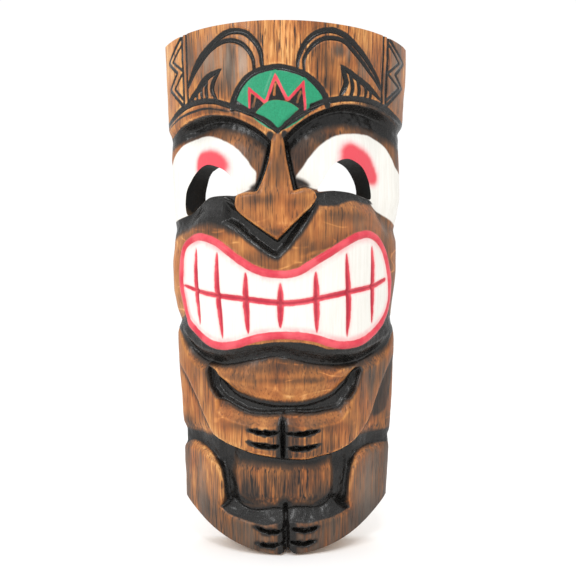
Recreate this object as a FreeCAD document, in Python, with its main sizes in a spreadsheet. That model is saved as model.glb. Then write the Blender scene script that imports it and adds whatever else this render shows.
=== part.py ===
import FreeCAD, Part
import math
import os

# Wall-hung tiki carved from one half-log, with a D-ring picture hanger let into its back.
# Millimetres. +Z up, +X to the viewer's right, the carved front faces -Y.
# The origin is on the flat back (the wall plane), at the foot of its centre line.

DIMENSIONS = {
    # the half-log
    "height": 508.0,
    "top_radius": 133.5,
    "foot_radius": 111.0,
    "axis_setback": 46.0,        # the log's centre line lies this far behind the flat back
    "foot_arc": 150.0,           # radius of the rounded lower end, seen from the front
    "reach": 140.0,              # half-width and depth that surely holds the whole log
    # carving depths, measured in from the log's own surface
    "skin": 0.0,
    "nose_level": 1.5,
    "face_level": 3.0,
    "limb_level": 4.0,
    "ground_level": 8.0,
    "line_cut": 2.5,
    "teeth_level": 2.5,
    "teeth_cut": 5.5,
    "finger_cut": 10.0,
    "deep_cut": 13.0,
    "socket_cut": 15.0,
    "lip_width": 7.0,
    # the hollow behind
    "wall": 30.0,
    "hollow_low": 60.0,
    "hollow_high": 428.0,
    "hollow_bow": 24.0,
    "eye_turn": 36.0,            # degrees that each eye hole leans towards the log's centre line
    # the hanger
    "rebate_depth": 6.0,
    "rebate_width": 28.0,
    "rebate_low": 441.0,
    "rebate_high": 498.0,
    "pivot_height": 474.0,
    "pivot_lift": 2.6,           # ring's axis above the rebate's floor, and the fold's outer radius
    "fold_bore": 1.5,
    "strap_width": 12.0,
    "strap_gauge": 1.1,
    "strap_low": 445.0,
    "ring_wire": 1.1,            # radius of the ring's wire
    "ring_half_width": 8.8,      # to the middle of the wire
    "ring_drop": 17.0,           # from the pivot to the middle of the wire at the bow
    "ring_corner": 2.4,
    "screw_radius": 1.5,
    "screw_head": 2.9,
    "screw_sink": 1.4,
    "screw_length": 16.0,
    "screw_gap": 0.05,
    "upper_screw": 464.5,
    "lower_screw": 450.5,
}

# Outlines are (x, z) points on the front view, for a curve drawn through them.
HEADBAND = [(-140, 425), (-112, 434), (-82, 440), (-45, 431), (-7, 406), (35, 434), (75, 441),
            (112, 433), (140, 424)]
BROW = [(-140, 404), (-118, 399), (-92, 409), (-66, 405), (-42, 387), (-20, 368), (0, 368),
        (22, 385), (48, 401), (76, 409), (104, 400), (140, 404)]
NOSE = [(-7, 402), (-17, 373), (-27, 351), (-45, 348), (-50, 340), (-45, 328), (-26, 313), (-8, 303),
        (12, 316), (24, 330), (31, 341), (25, 348), (8, 347), (0, 371)]
CHEEKS = [(-140, 322), (-98, 331), (-76, 345), (-52, 346), (-44, 326), (-10, 290), (28, 328),
          (38, 346), (62, 351), (92, 345), (140, 330), (140, 232), (109, 222), (96, 212), (76, 196),
          (50, 194), (20, 201), (-10, 202), (-50, 193), (-70, 194), (-92, 207), (-108, 225),
          (-140, 232)]
MOUTH = [(-100, 307), (-109, 284), (-107, 252), (-92, 212), (-67, 198), (-40, 202), (-10, 207),
         (20, 207), (50, 199), (76, 200), (99, 222), (110, 252), (107, 290), (94, 309), (74, 312),
         (45, 297), (18, 279), (-4, 273), (-30, 279), (-57, 297), (-78, 308)]
BELLY = [(-74, 179), (-40, 174), (-4, 172), (35, 173), (67, 176), (38, 152), (0, 144), (-35, 148),
         (-60, 160)]
LEFT_ARM = [(-140, 222), (-108, 205), (-92, 190), (-76, 176), (-67, 152), (-58, 133), (-46, 127),
            (-14, 127), (-6, 124), (-6, 93), (-35, 96), (-62, 103), (-76, 114), (-90, 143),
            (-108, 170), (-140, 180)]
RIGHT_ARM = [(140, 220), (109, 203), (94, 190), (72, 176), (65, 152), (56, 134), (42, 128), (8, 126),
             (1, 123), (1, 92), (24, 92), (46, 99), (64, 106), (79, 118), (94, 148), (112, 180),
             (140, 190)]
LEFT_LEG = [(-140, 100), (-97, 100), (-79, 91), (-66, 80), (-62, 60), (-58, 38), (-36, 31), (-4, 27)]
RIGHT_LEG = [(3, 27), (38, 31), (60, 38), (64, 62), (70, 84), (84, 96), (107, 98), (140, 98)]

LEFT_SOCKET = [(-114, 372), (-110, 394), (-92, 406), (-68, 403), (-46, 388), (-30, 366), (-30, 353),
               (-48, 347), (-68, 347), (-84, 339), (-98, 332), (-107, 350)]
RIGHT_SOCKET = [(113, 372), (111, 392), (96, 404), (72, 408), (46, 399), (26, 380), (14, 362),
                (20, 353), (34, 347), (62, 352), (88, 346), (103, 354)]
LEFT_HOLE = [(-98, 336), (-97, 368), (-84, 378), (-66, 374), (-53, 361), (-49, 349), (-70, 348),
             (-85, 341)]
RIGHT_HOLE = [(33, 350), (46, 370), (62, 380), (76, 378), (87, 362), (91, 347), (64, 352)]

CHIN = [(-108, 218), (-90, 203), (-68, 193), (-50, 193), (-10, 202), (20, 202), (50, 195), (76, 196),
        (98, 215), (108, 222), (107, 206), (92, 191), (74, 184), (50, 180), (21, 185), (-8, 189),
        (-43, 184), (-62, 183), (-82, 188), (-97, 199), (-106, 210)]
BELLY_GROOVE = [(-66, 170), (-58, 157), (-35, 146), (0, 142), (38, 150), (60, 166), (57, 150),
                (48, 138), (30, 131), (0, 129), (-34, 130), (-52, 138), (-63, 154)]
LEFT_HIP_GROOVE = [(-106, 108), (-84, 112), (-66, 100), (-40, 93), (-12, 90), (-12, 82), (-40, 84),
                   (-60, 88), (-74, 94), (-90, 101)]
RIGHT_HIP_GROOVE = [(108, 106), (88, 112), (68, 103), (42, 95), (12, 90), (12, 82), (40, 84),
                    (60, 88), (74, 94), (92, 100)]
LAP = [(-52, 86), (0, 82), (50, 86), (48, 50), (20, 32), (0, 30), (-22, 32), (-50, 50)]

# Cuts shaped like a leaf: centre x, centre z, half length, half width, degrees from level
FINGER_CUTS = [(-21, 118, 17, 3, -3), (-21, 105.5, 16, 3, -2), (16, 118.5, 16, 3, 2),
               (16, 105.5, 18, 3, 0), (-3.5, 112, 22, 2.5, 90)]
TOE_CUTS = [(-17, 24.5, 16, 3, 0), (-16, 12.5, 15, 3, 0), (22, 25.5, 11, 2.5, 0),
            (22, 13, 8, 2.5, 0), (0, 24, 23, 2.5, 90)]
TOOTH_CUTS = [(-87, 258, 38, 2.2, 93), (-64, 248, 42, 2.4, 94), (-38, 241, 31, 2.2, 91),
              (-5, 240, 22, 2.2, 90), (29.5, 242, 31, 2.2, 91), (58.5, 249, 41, 2.4, 91),
              (86, 260, 38, 2.2, 91)]

# Cuts of one width along a line: width, then its points
BITE_LINE = (4.0, [(-99, 258), (-83, 252), (-41, 246), (-4, 243), (35, 248), (59, 253), (98, 264)])
BAND_LINES = [
    (2.0, [(-104, 438), (-104, 508)]),
    (2.0, [(-101, 438), (-101, 508)]),
    (2.0, [(100, 437), (100, 508)]),
    (2.0, [(103, 437), (103, 508)]),
    (3.0, [(-106, 506), (-118, 487), (-109, 474), (-117, 458), (-106, 441)]),
    (3.0, [(105, 502), (119, 487), (107, 471), (118, 460), (106, 440)]),
    (3.5, [(-97, 457), (-88, 473), (-78, 485), (-68, 495), (-55, 501), (-43, 499), (-33, 491),
           (-27, 480), (-23, 464)]),
    (3.5, [(-94, 455), (-70, 488), (-58, 493), (-47, 490), (-37, 482), (-30, 462)]),
    (3.5, [(10, 463), (13, 477), (20, 489), (30, 497), (44, 500), (58, 497), (72, 483), (94, 456)]),
    (3.5, [(16, 462), (18, 476), (26, 487), (38, 492), (52, 492), (63, 485), (91, 454)]),
    (3.0, [(-97, 441), (-82, 452), (-63, 465)]),
    (3.0, [(54, 467), (76, 455), (94, 443)]),
]
BADGE = (3.5, [(-49, 433), (-40, 447), (-24, 460), (-5, 464), (14, 460), (29, 448), (38, 434)])


def make_sheet(doc):
    """The driving dimensions, one aliased cell each."""
    sheet = doc.addObject("Spreadsheet::Sheet", "Dimensions")
    for row, (alias, value) in enumerate(DIMENSIONS.items(), start=1):
        sheet.set("A%d" % row, alias)
        sheet.set("B%d" % row, str(value))
        sheet.setAlias("B%d" % row, alias)
    doc.recompute()
    return sheet


def bind(obj, **expressions):
    """Tie properties to the sheet: each value is an expression in its aliases."""
    for prop, expression in expressions.items():
        words = []
        for word in expression.split():
            words.append("Dimensions." + word if word in DIMENSIONS else word)
        obj.setExpression(prop.replace("__", "."), " ".join(words))
    return obj


def make_cone(doc, name, inset):
    """The tapered log's surface, taken in by a carving depth."""
    cone = doc.addObject("Part::Cone", name)
    bind(cone, Radius1="foot_radius - " + inset, Radius2="top_radius - " + inset, Height="height")
    bind(cone, Placement__Base__y="axis_setback")
    return cone


def front_sketch(doc, name, edges):
    """A sketch on the wall plane, seen from the front."""
    sketch = doc.addObject("Sketcher::SketchObject", name)
    upright = FreeCAD.Rotation(FreeCAD.Vector(1, 0, 0), 90)
    sketch.Placement = FreeCAD.Placement(FreeCAD.Vector(0, 0, 0), upright)
    sketch.addGeometry(edges, False)
    return sketch


def vectors(points):
    return [FreeCAD.Vector(x, z, 0) for x, z in points]


def closed_curve(points):
    """One smooth closed curve through the points."""
    curve = Part.BSplineCurve()
    curve.interpolate(Points=vectors(points), PeriodicFlag=True)
    return [curve]


def curve_and_lines(points, corners):
    """A smooth curve through the points, closed by straight lines over the corners."""
    curve = Part.BSplineCurve()
    curve.interpolate(Points=vectors(points))
    ends = vectors([points[-1]] + corners + [points[0]])
    return [curve] + [Part.LineSegment(a, b) for a, b in zip(ends, ends[1:])]


def polygon(points):
    ends = vectors(points + points[:1])
    return [Part.LineSegment(a, b) for a, b in zip(ends, ends[1:])]


def shrink(points, width):
    """The same loop taken in by a width; its points run anticlockwise."""
    inner = []
    for index, (x, z) in enumerate(points):
        before, after = points[index - 1], points[(index + 1) % len(points)]
        length = math.hypot(after[0] - before[0], after[1] - before[1])
        inner.append((x - (after[1] - before[1]) / length * width, z + (after[0] - before[0]) / length * width))
    return inner


def leaf(x, z, half_length, half_width, degrees):
    """A pointed-oval cut: two arcs that meet at its tips."""
    turn = math.radians(degrees)
    along = FreeCAD.Vector(math.cos(turn), math.sin(turn), 0)
    across = FreeCAD.Vector(-math.sin(turn), math.cos(turn), 0)
    middle = FreeCAD.Vector(x, z, 0)
    tips = middle - along * half_length, middle + along * half_length
    sides = middle + across * half_width, middle - across * half_width
    return [Part.Arc(tips[0], sides[0], tips[1]), Part.Arc(tips[1], sides[1], tips[0])]


def stroke(width, points):
    """The outline of a cut of one width along a line."""
    left, right = [], []
    for index, (x, z) in enumerate(points):
        before = points[max(index - 1, 0)]
        after = points[min(index + 1, len(points) - 1)]
        length = math.hypot(after[0] - before[0], after[1] - before[1])
        step_x = (before[1] - after[1]) / length * width / 2
        step_z = (after[0] - before[0]) / length * width / 2
        left.append((x + step_x, z + step_z))
        right.append((x - step_x, z - step_z))
    return polygon(left + right[::-1])


def make_prism(doc, name, edges):
    """A prism from the wall plane out through the carved front."""
    prism = doc.addObject("Part::Extrusion", name)
    prism.Base = front_sketch(doc, name + "Outline", edges)
    prism.DirMode = "Custom"
    prism.Dir = FreeCAD.Vector(0, -1, 0)
    prism.Solid = True
    bind(prism, LengthFwd="reach")
    return prism


def make_fuse(doc, name, shapes):
    fuse = doc.addObject("Part::MultiFuse", name)
    fuse.Shapes = shapes
    return fuse


def make_common(doc, name, base, tool):
    common = doc.addObject("Part::Common", name)
    common.Base = base
    common.Tool = tool
    return common


def make_cut(doc, name, base, tool):
    cut = doc.addObject("Part::Cut", name)
    cut.Base = base
    cut.Tool = tool
    return cut


def make_raised_forms(doc, sheet):
    """What stands proud of the cut-back ground: band, brow, face, limbs."""
    reach, height = sheet.reach, sheet.height
    above = height + 10
    forms = [
        ("Headband", "skin", curve_and_lines(HEADBAND, [(reach, above), (-reach, above)])),
        ("Brow", "face_level", curve_and_lines(BROW, [(reach, 450), (-reach, 450)])),
        ("Cheeks", "face_level", closed_curve(CHEEKS)),
        ("Nose", "nose_level", closed_curve(NOSE)),
        ("Mouth", "skin", closed_curve(MOUTH)),
        ("Belly", "limb_level", closed_curve(BELLY)),
        ("LeftArm", "limb_level", closed_curve(LEFT_ARM)),
        ("RightArm", "limb_level", closed_curve(RIGHT_ARM)),
        ("LeftLeg", "limb_level", curve_and_lines(LEFT_LEG, [(-4, -10), (-reach, -10)])),
        ("RightLeg", "limb_level", curve_and_lines(RIGHT_LEG, [(reach, -10), (3, -10)])),
    ]
    cones = {level: make_cone(doc, "Log_" + level, level) for level in {form[1] for form in forms}}
    raised = []
    for name, level, edges in forms:
        prism = make_prism(doc, name + "Prism", edges)
        raised.append(make_common(doc, name, prism, cones[level]))
    return raised


def make_ground(doc, sheet):
    """The cut-back ground under the whole figure."""
    reach = sheet.reach
    slab = polygon([(-reach, 0), (reach, 0), (reach, sheet.height), (-reach, sheet.height)])
    prism = make_prism(doc, "GroundPrism", slab)
    return make_common(doc, "Ground", prism, make_cone(doc, "Log_ground", "ground_level"))


def make_foot_trim(doc, sheet):
    """The whole front outline, with its rounded lower end."""
    reach, arc = sheet.reach, sheet.foot_arc
    rise = arc - math.sqrt(arc ** 2 - reach ** 2)
    above = sheet.height
    left, right = FreeCAD.Vector(-reach, rise, 0), FreeCAD.Vector(reach, rise, 0)
    corners = vectors([(reach, rise), (reach, above), (-reach, above), (-reach, rise)])
    edges = [Part.Arc(left, FreeCAD.Vector(0, 0, 0), right)]
    edges += [Part.LineSegment(a, b) for a, b in zip(corners, corners[1:])]
    return make_prism(doc, "FigureOutline", edges)


def make_surface_cuts(doc, sheet):
    """Everything cut from the front, one tool for each depth."""
    groups = {
        "teeth_level": [closed_curve(shrink(MOUTH, sheet.lip_width))],
        "line_cut": [stroke(*line) for line in BAND_LINES + [BADGE]],
        "teeth_cut": [leaf(*cut) for cut in TOOTH_CUTS] + [stroke(*BITE_LINE)],
        "finger_cut": [leaf(*cut) for cut in FINGER_CUTS + TOE_CUTS],
        "deep_cut": [closed_curve(points) for points in
                     (CHIN, BELLY_GROOVE, LEFT_HIP_GROOVE, RIGHT_HIP_GROOVE, LAP)],
        "socket_cut": [closed_curve(LEFT_SOCKET), closed_curve(RIGHT_SOCKET)],
    }
    tools = []
    for depth, outlines in groups.items():
        prisms = [make_prism(doc, "%s_%d" % (depth, number), edges)
                  for number, edges in enumerate(outlines)]
        stack = make_fuse(doc, depth + "_prisms", prisms) if len(prisms) > 1 else prisms[0]
        tools.append(make_cut(doc, depth + "_tool", stack, make_cone(doc, "Log_" + depth, depth)))
    return tools


def make_eye_hole(doc, sheet, name, points, side):
    """An eye hole through the wall, leaning towards the log's centre line."""
    lean = math.tan(math.radians(sheet.eye_turn))
    middle_height = sum(z for _, z in points) / len(points)
    taper = (sheet.top_radius - sheet.foot_radius) / sheet.height
    radius = sheet.foot_radius + taper * middle_height - sheet.ground_level
    plane = sheet.axis_setback - radius
    slid = []
    for x, z in points:
        surface = sheet.axis_setback - math.sqrt(radius ** 2 - x ** 2)
        slid.append((x + side * lean * (surface - plane), z))
    sketch = front_sketch(doc, name + "Outline", closed_curve(slid))
    sketch.Placement.Base = FreeCAD.Vector(0, plane, 0)
    hole = doc.addObject("Part::Extrusion", name)
    hole.Base = sketch
    hole.DirMode = "Custom"
    hole.Dir = FreeCAD.Vector(-side * lean, 1, 0)
    hole.Solid = True
    bind(hole, LengthFwd="wall * 3.2", LengthRev="wall")
    return hole


def make_hollow(doc, sheet):
    """The trough gouged out of the back, its ends bowed."""
    reach, bow = sheet.reach, sheet.hollow_bow
    low, high = sheet.hollow_low, sheet.hollow_high
    half = sheet.top_radius - sheet.wall
    corners = vectors([(-half, low + bow), (-half, high - bow), (half, high - bow), (half, low + bow)])
    edges = [
        Part.LineSegment(corners[0], corners[1]),
        Part.Arc(corners[1], FreeCAD.Vector(0, high, 0), corners[2]),
        Part.LineSegment(corners[2], corners[3]),
        Part.Arc(corners[3], FreeCAD.Vector(0, low, 0), corners[0]),
    ]
    prism = make_prism(doc, "HollowPrism", edges)
    return make_common(doc, "Hollow", prism, make_cone(doc, "Log_hollow", "wall"))


def make_rebate(doc):
    """The shallow bed for the hanger, so that nothing stands proud of the back."""
    box = doc.addObject("Part::Box", "Rebate")
    bind(box, Length="rebate_width", Width="rebate_depth", Height="rebate_high - rebate_low")
    bind(box, Placement__Base__x="rebate_width / -2", Placement__Base__y="0 - rebate_depth",
         Placement__Base__z="rebate_low")
    return box


def make_pilot_hole(doc, name, height_alias):
    """A hole for one hanger screw, straight in from the rebate's floor."""
    hole = doc.addObject("Part::Cylinder", name)
    bind(hole, Radius="screw_radius + screw_gap", Height="rebate_depth + screw_length + 2")
    hole.Placement.Rotation = FreeCAD.Rotation(FreeCAD.Vector(1, 0, 0), 90)
    bind(hole, Placement__Base__z=height_alias)
    return hole


def make_screw_bed(doc, name, height_alias):
    """The mouth of a pilot hole, widened for the screw's sunk head."""
    cone = doc.addObject("Part::Cone", name)
    bind(cone, Radius1="screw_head + screw_gap", Radius2="screw_radius + screw_gap", Height="screw_sink")
    cone.Placement.Rotation = FreeCAD.Rotation(FreeCAD.Vector(1, 0, 0), 90)
    bind(cone, Placement__Base__y="strap_gauge - rebate_depth", Placement__Base__z=height_alias)
    return cone


def make_carved_figure(doc, sheet):
    """The figure itself: one carved and hollowed half-log."""
    raised = make_raised_forms(doc, sheet)
    block = make_fuse(doc, "Block", raised + [make_ground(doc, sheet)])
    trimmed = make_common(doc, "Trimmed", block, make_foot_trim(doc, sheet))
    cuts = make_surface_cuts(doc, sheet)
    cuts.append(make_hollow(doc, sheet))
    cuts.append(make_eye_hole(doc, sheet, "LeftEyeHole", LEFT_HOLE, -1))
    cuts.append(make_eye_hole(doc, sheet, "RightEyeHole", RIGHT_HOLE, 1))
    cuts.append(make_rebate(doc))
    for name in ("upper_screw", "lower_screw"):
        cuts.append(make_pilot_hole(doc, name + "_pilot", name))
        cuts.append(make_screw_bed(doc, name + "_bed", name))
    figure = trimmed
    for number, tool in enumerate(cuts):
        figure = make_cut(doc, "Carved_%02d" % number, figure, tool)
    figure.Label = "carved_figure"
    return figure


def origin_plane(body, role):
    return next(feature for feature in body.Origin.OriginFeatures if feature.Role == role)


def make_hanger_strap(doc, sheet):
    """A folded steel strap: a flat leaf with the fold that holds the ring at its top."""
    body = doc.addObject("PartDesign::Body", "HangerStrap")
    floor = -sheet.rebate_depth
    face = floor + sheet.strap_gauge
    axis = floor + sheet.pivot_lift
    top, low = sheet.pivot_height, sheet.strap_low
    outer, bore = sheet.pivot_lift, sheet.fold_bore
    neck = top - math.sqrt(outer ** 2 - (axis - face) ** 2)
    profile = body.newObject("Sketcher::SketchObject", "StrapProfile")
    profile.AttachmentSupport = [(origin_plane(body, "YZ_Plane"), "")]
    profile.MapMode = "FlatFace"

    def point(y, z):
        return FreeCAD.Vector(y, z, 0)

    profile.addGeometry([
        Part.LineSegment(point(face, low), point(floor, low)),
        Part.LineSegment(point(floor, low), point(floor, top)),
        Part.Arc(point(floor, top), point(axis + outer, top), point(face, neck)),
        Part.LineSegment(point(face, neck), point(face, low)),
        Part.Circle(point(axis, top), FreeCAD.Vector(0, 0, 1), bore),
    ], False)
    pad = body.newObject("PartDesign::Pad", "StrapPad")
    pad.Profile = profile
    pad.Midplane = True
    bind(pad, Length="strap_width")
    doc.recompute()
    corners = [name for name, edge in named_edges(pad.Shape)
               if edge.BoundBox.YLength > 0.9 and abs(edge.CenterOfMass.z - low) < 0.01]
    rounding = body.newObject("PartDesign::Fillet", "StrapCorners")
    rounding.Base = (pad, corners)
    rounding.Radius = sheet.strap_width / 4
    doc.recompute()
    beds = [make_screw_bed(doc, "strap_%s_bed" % name, name) for name in ("upper_screw", "lower_screw")]
    strap = make_cut(doc, "StrapWithHoles", body, make_fuse(doc, "StrapBeds", beds))
    strap.Label = "hanger_strap"
    return strap


def named_edges(shape):
    return [("Edge%d" % number, edge) for number, edge in enumerate(shape.Edges, start=1)]


def make_hanger_ring(doc, sheet):
    """A D-ring of round wire: a straight bar in the strap's fold and a round bow below."""
    half, corner = sheet.ring_half_width, sheet.ring_corner
    top = sheet.pivot_height
    bow_centre = top - sheet.ring_drop + half
    slant = corner * (1 - math.sqrt(0.5))
    path = [
        Part.LineSegment(FreeCAD.Vector(-half + corner, top, 0), FreeCAD.Vector(half - corner, top, 0)),
        Part.Arc(FreeCAD.Vector(half - corner, top, 0), FreeCAD.Vector(half - slant, top - slant, 0),
                 FreeCAD.Vector(half, top - corner, 0)),
        Part.LineSegment(FreeCAD.Vector(half, top - corner, 0), FreeCAD.Vector(half, bow_centre, 0)),
        Part.Arc(FreeCAD.Vector(half, bow_centre, 0), FreeCAD.Vector(0, bow_centre - half, 0),
                 FreeCAD.Vector(-half, bow_centre, 0)),
        Part.LineSegment(FreeCAD.Vector(-half, bow_centre, 0), FreeCAD.Vector(-half, top - corner, 0)),
        Part.Arc(FreeCAD.Vector(-half, top - corner, 0), FreeCAD.Vector(-half + slant, top - slant, 0),
                 FreeCAD.Vector(-half + corner, top, 0)),
    ]
    spine = front_sketch(doc, "RingPath", path)
    bind(spine, Placement__Base__y="pivot_lift - rebate_depth")
    section = doc.addObject("Part::Circle", "RingSection")
    bind(section, Radius="ring_wire", Placement__Base__y="pivot_lift - rebate_depth",
         Placement__Base__z="pivot_height")
    section.Placement.Rotation = FreeCAD.Rotation(FreeCAD.Vector(0, 1, 0), 90)
    ring = doc.addObject("Part::Sweep", "RingSweep")
    ring.Sections = [section]
    ring.Spine = (spine, [])
    ring.Solid = True
    ring.Frenet = True
    ring.Label = "hanger_ring"
    return ring


def make_screw(doc, sheet, name, height_alias):
    """A countersunk wood screw: sunk head, threaded shank and point, with a crossed slot."""
    radius, head, sink = sheet.screw_radius, sheet.screw_head, sheet.screw_sink
    length, core = sheet.screw_length, sheet.screw_radius * 0.72
    pitch = 1.3
    outline = [(0, 0), (head, 0), (radius, sink), (radius, sink + pitch * 2)]
    depth = sink + pitch * 2
    while depth + pitch < length - 3:
        outline += [(core, depth + pitch * 0.15), (core, depth + pitch * 0.55), (radius, depth + pitch * 0.8)]
        outline += [(radius, depth + pitch * 0.9)]
        depth += pitch
    outline += [(core, depth + pitch * 0.2), (0, length)]
    profile = doc.addObject("Sketcher::SketchObject", name + "Profile")
    profile.Placement.Rotation = FreeCAD.Rotation(FreeCAD.Vector(1, 0, 0), 180)
    profile.addGeometry(polygon(outline), False)
    bind(profile, Placement__Base__y="strap_gauge - rebate_depth", Placement__Base__z=height_alias)
    turned = doc.addObject("Part::Revolution", name + "Turned")
    turned.Source = profile
    turned.Axis = FreeCAD.Vector(0, 1, 0)
    turned.Angle = 360
    turned.Solid = True
    bind(turned, Base__z=height_alias)
    slots = []
    for number, (width, tall) in enumerate(((0.8, 3.2), (3.2, 0.8))):
        slot = doc.addObject("Part::Box", "%sSlot%d" % (name, number))
        slot.Length = width
        slot.Width = 0.9
        slot.Height = tall
        slot.Placement.Base = FreeCAD.Vector(-width / 2, 0, 0)
        bind(slot, Placement__Base__y="strap_gauge - rebate_depth - 0.9",
             Placement__Base__z="%s - %s" % (height_alias, tall / 2))
        slots.append(slot)
    return make_cut(doc, name, turned, make_fuse(doc, name + "Cross", slots))


def make_hanger_screws(doc, sheet):
    """Both screws of the hanger, alike."""
    screws = doc.addObject("Part::Compound", "HangerScrews")
    screws.Links = [make_screw(doc, sheet, "UpperScrew", "upper_screw"),
                    make_screw(doc, sheet, "LowerScrew", "lower_screw")]
    screws.Label = "hanger_screws"
    return screws


def check_document(doc, pieces):
    """Stop if any object failed, or a piece is not made of valid closed solids."""
    for obj in doc.Objects:
        if "Invalid" in obj.State or "Error" in obj.State:
            raise RuntimeError("%s failed: %s" % (obj.Name, obj.State))
    for piece in pieces:
        shape = piece.Shape
        if shape.isNull() or not shape.isValid() or not shape.Solids:
            raise RuntimeError("%s has no valid solid" % piece.Label)
        box = shape.BoundBox
        print("%-14s solids %d volume %.0f box %.1f %.1f %.1f to %.1f %.1f %.1f" % (
            piece.Label, len(shape.Solids), shape.Volume,
            box.XMin, box.YMin, box.ZMin, box.XMax, box.YMax, box.ZMax))


def main():
    doc = FreeCAD.newDocument("TikiFigure")
    sheet = make_sheet(doc)
    pieces = [
        make_carved_figure(doc, sheet),
        make_hanger_strap(doc, sheet),
        make_hanger_ring(doc, sheet),
        make_hanger_screws(doc, sheet),
    ]
    doc.recompute()
    check_document(doc, pieces)
    os.makedirs("parts", exist_ok=True)
    for piece in pieces:
        piece.Shape.exportStep("parts/%s.step" % piece.Label)


main()
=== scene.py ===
"""Looks of the wall-hung tiki: a carved, scorched and painted half-log, and its steel hanger.

The log's front is unrolled into a flat chart: s is the distance round it from the centre line,
z the height. Outlines, carving depths and paint are drawn on that chart in millimetres, and the
chart is wrapped back round the tapered log to make the mesh.
"""
import math
from functools import reduce

import bpy
import numpy as np
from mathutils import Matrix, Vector


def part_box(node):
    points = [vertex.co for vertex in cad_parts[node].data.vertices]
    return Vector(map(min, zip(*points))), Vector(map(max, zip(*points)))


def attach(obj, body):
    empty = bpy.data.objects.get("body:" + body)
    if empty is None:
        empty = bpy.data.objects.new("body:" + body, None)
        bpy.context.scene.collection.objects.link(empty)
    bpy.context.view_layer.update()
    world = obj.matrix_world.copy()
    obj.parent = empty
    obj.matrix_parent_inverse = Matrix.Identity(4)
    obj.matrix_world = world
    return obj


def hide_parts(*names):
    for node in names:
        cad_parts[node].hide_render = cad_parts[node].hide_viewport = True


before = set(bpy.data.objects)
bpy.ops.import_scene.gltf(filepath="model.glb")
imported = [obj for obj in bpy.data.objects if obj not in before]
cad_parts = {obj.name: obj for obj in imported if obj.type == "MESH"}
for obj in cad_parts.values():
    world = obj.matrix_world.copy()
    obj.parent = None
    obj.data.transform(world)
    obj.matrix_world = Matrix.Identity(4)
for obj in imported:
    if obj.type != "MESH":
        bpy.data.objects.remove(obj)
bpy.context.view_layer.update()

MM = 0.001
LOW, HIGH = (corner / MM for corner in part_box("carved_figure"))
HEIGHT = HIGH.z                       # millimetres from here on
FRONT = -LOW.y
SETBACK = 46.0                        # the log's centre line lies this far behind the flat back
TOP_RADIUS = FRONT + SETBACK
FOOT_RADIUS = 111.0
FOOT_ARC = 150.0                      # the rounded lower end, seen from the front
FOOT_DROP = 1.6                       # how far its middle hangs below z = 0
NICK_AT, NICK_HEIGHT, NICK_HALF = 2.5, 5.5, 4.0
TOP_SLANT, TOP_FALL = 0.012, 0.9      # the sawn top edge falls from left to right
WALL = 30.0                           # wood left around the hollow
HOLLOW_LOW, HOLLOW_HIGH, HOLLOW_BOW = 60.0, 428.0, 24.0
EYE_LEAN = math.tan(math.radians(52))  # how far an eye tunnel slants outward per millimetre of depth
REBATE_HALF, REBATE_DEPTH = 14.0, 6.0
REBATE_LOW, REBATE_HIGH = 441.0, 498.0
SCREW_HEIGHTS = (464.5, 450.5)
PILOT_RADIUS, PILOT_END = 1.6, -24.0

CHART_RADIUS = 120.0                  # s = CHART_RADIUS * angle round the log
CHART_HALF = 156.0
CHART_PITCH = 0.6
MESH_PITCH = 0.8
FRONT_HALF = 142.0                    # half the way round the carved front

# --- the chart, and fields drawn on it ---

S_AXIS = np.arange(-CHART_HALF, CHART_HALF, CHART_PITCH)
Z_AXIS = np.arange(-8.0, HEIGHT + 8.0, CHART_PITCH)
S, Z = np.meshgrid(S_AXIS, Z_AXIS)


def smooth(points, step=1.5):
    """A curve through the points (Catmull-Rom), sampled finely."""
    points = np.array(points, float)
    first, last = 2 * points[0] - points[1], 2 * points[-1] - points[-2]
    padded = np.vstack([first, points, last])
    pieces = []
    for a, b, c, d in zip(padded, padded[1:], padded[2:], padded[3:]):
        count = max(2, int(np.hypot(*(c - b)) / step))
        t = np.linspace(0, 1, count, endpoint=False)[:, None]
        pieces.append(0.5 * (2 * b + (c - a) * t + (2 * a - 5 * b + 4 * c - d) * t ** 2
                             + (3 * b - a - 3 * c + d) * t ** 3))
    return np.vstack(pieces + [points[-1:]])


def loop(points):
    """A smooth closed curve through the points."""
    around = points[-2:] + points + points[:2]
    curve = smooth(around)
    start = len(smooth(around[:3])) - 1
    end = len(curve) - len(smooth(around[-2:]))
    return curve[start:end]


def joined(*runs):
    """An outline of smooth runs that meet in corners."""
    return np.vstack([smooth(run) if len(run) > 2 else np.array(run, float) for run in runs])


def window(a, b, reach):
    """The part of the chart within reach of a segment."""
    columns = np.searchsorted(S_AXIS, [min(a[0], b[0]) - reach, max(a[0], b[0]) + reach])
    rows = np.searchsorted(Z_AXIS, [min(a[1], b[1]) - reach, max(a[1], b[1]) + reach])
    return slice(*rows), slice(*columns)


def stroke(path, half, reach=4.0):
    """How far each chart point lies inside a line of the given half-width; negative outside."""
    half = np.broadcast_to(half, len(path))
    field = np.full(S.shape, -float(reach))
    for a, b, half_a, half_b in zip(path, path[1:], half, half[1:]):
        part = window(a, b, reach + max(half_a, half_b))
        run = b - a
        share = ((S[part] - a[0]) * run[0] + (Z[part] - a[1]) * run[1]) / (run @ run + 1e-9)
        share = np.clip(share, 0, 1)
        gap = np.hypot(S[part] - a[0] - share * run[0], Z[part] - a[1] - share * run[1])
        field[part] = np.maximum(field[part], half_a + share * (half_b - half_a) - gap)
    return field


def tapered(points, half, start=0.0, end=0.0, reach=4.0):
    """A line that swells from start to half and back to end."""
    path = smooth(points) if len(points) > 2 else np.linspace(points[0], points[1], 12)
    share = np.linspace(0, 1, len(path))
    swell = np.sin(np.pi * share) ** 0.6
    ends = start + (end - start) * share
    return stroke(path, ends + (half - ends) * swell, reach)


def line(points, half, corners=False):
    """A line of one width, through corners or as a curve."""
    path = np.array(points, float) if corners or len(points) < 3 else smooth(points)
    return stroke(path, half)


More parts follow.
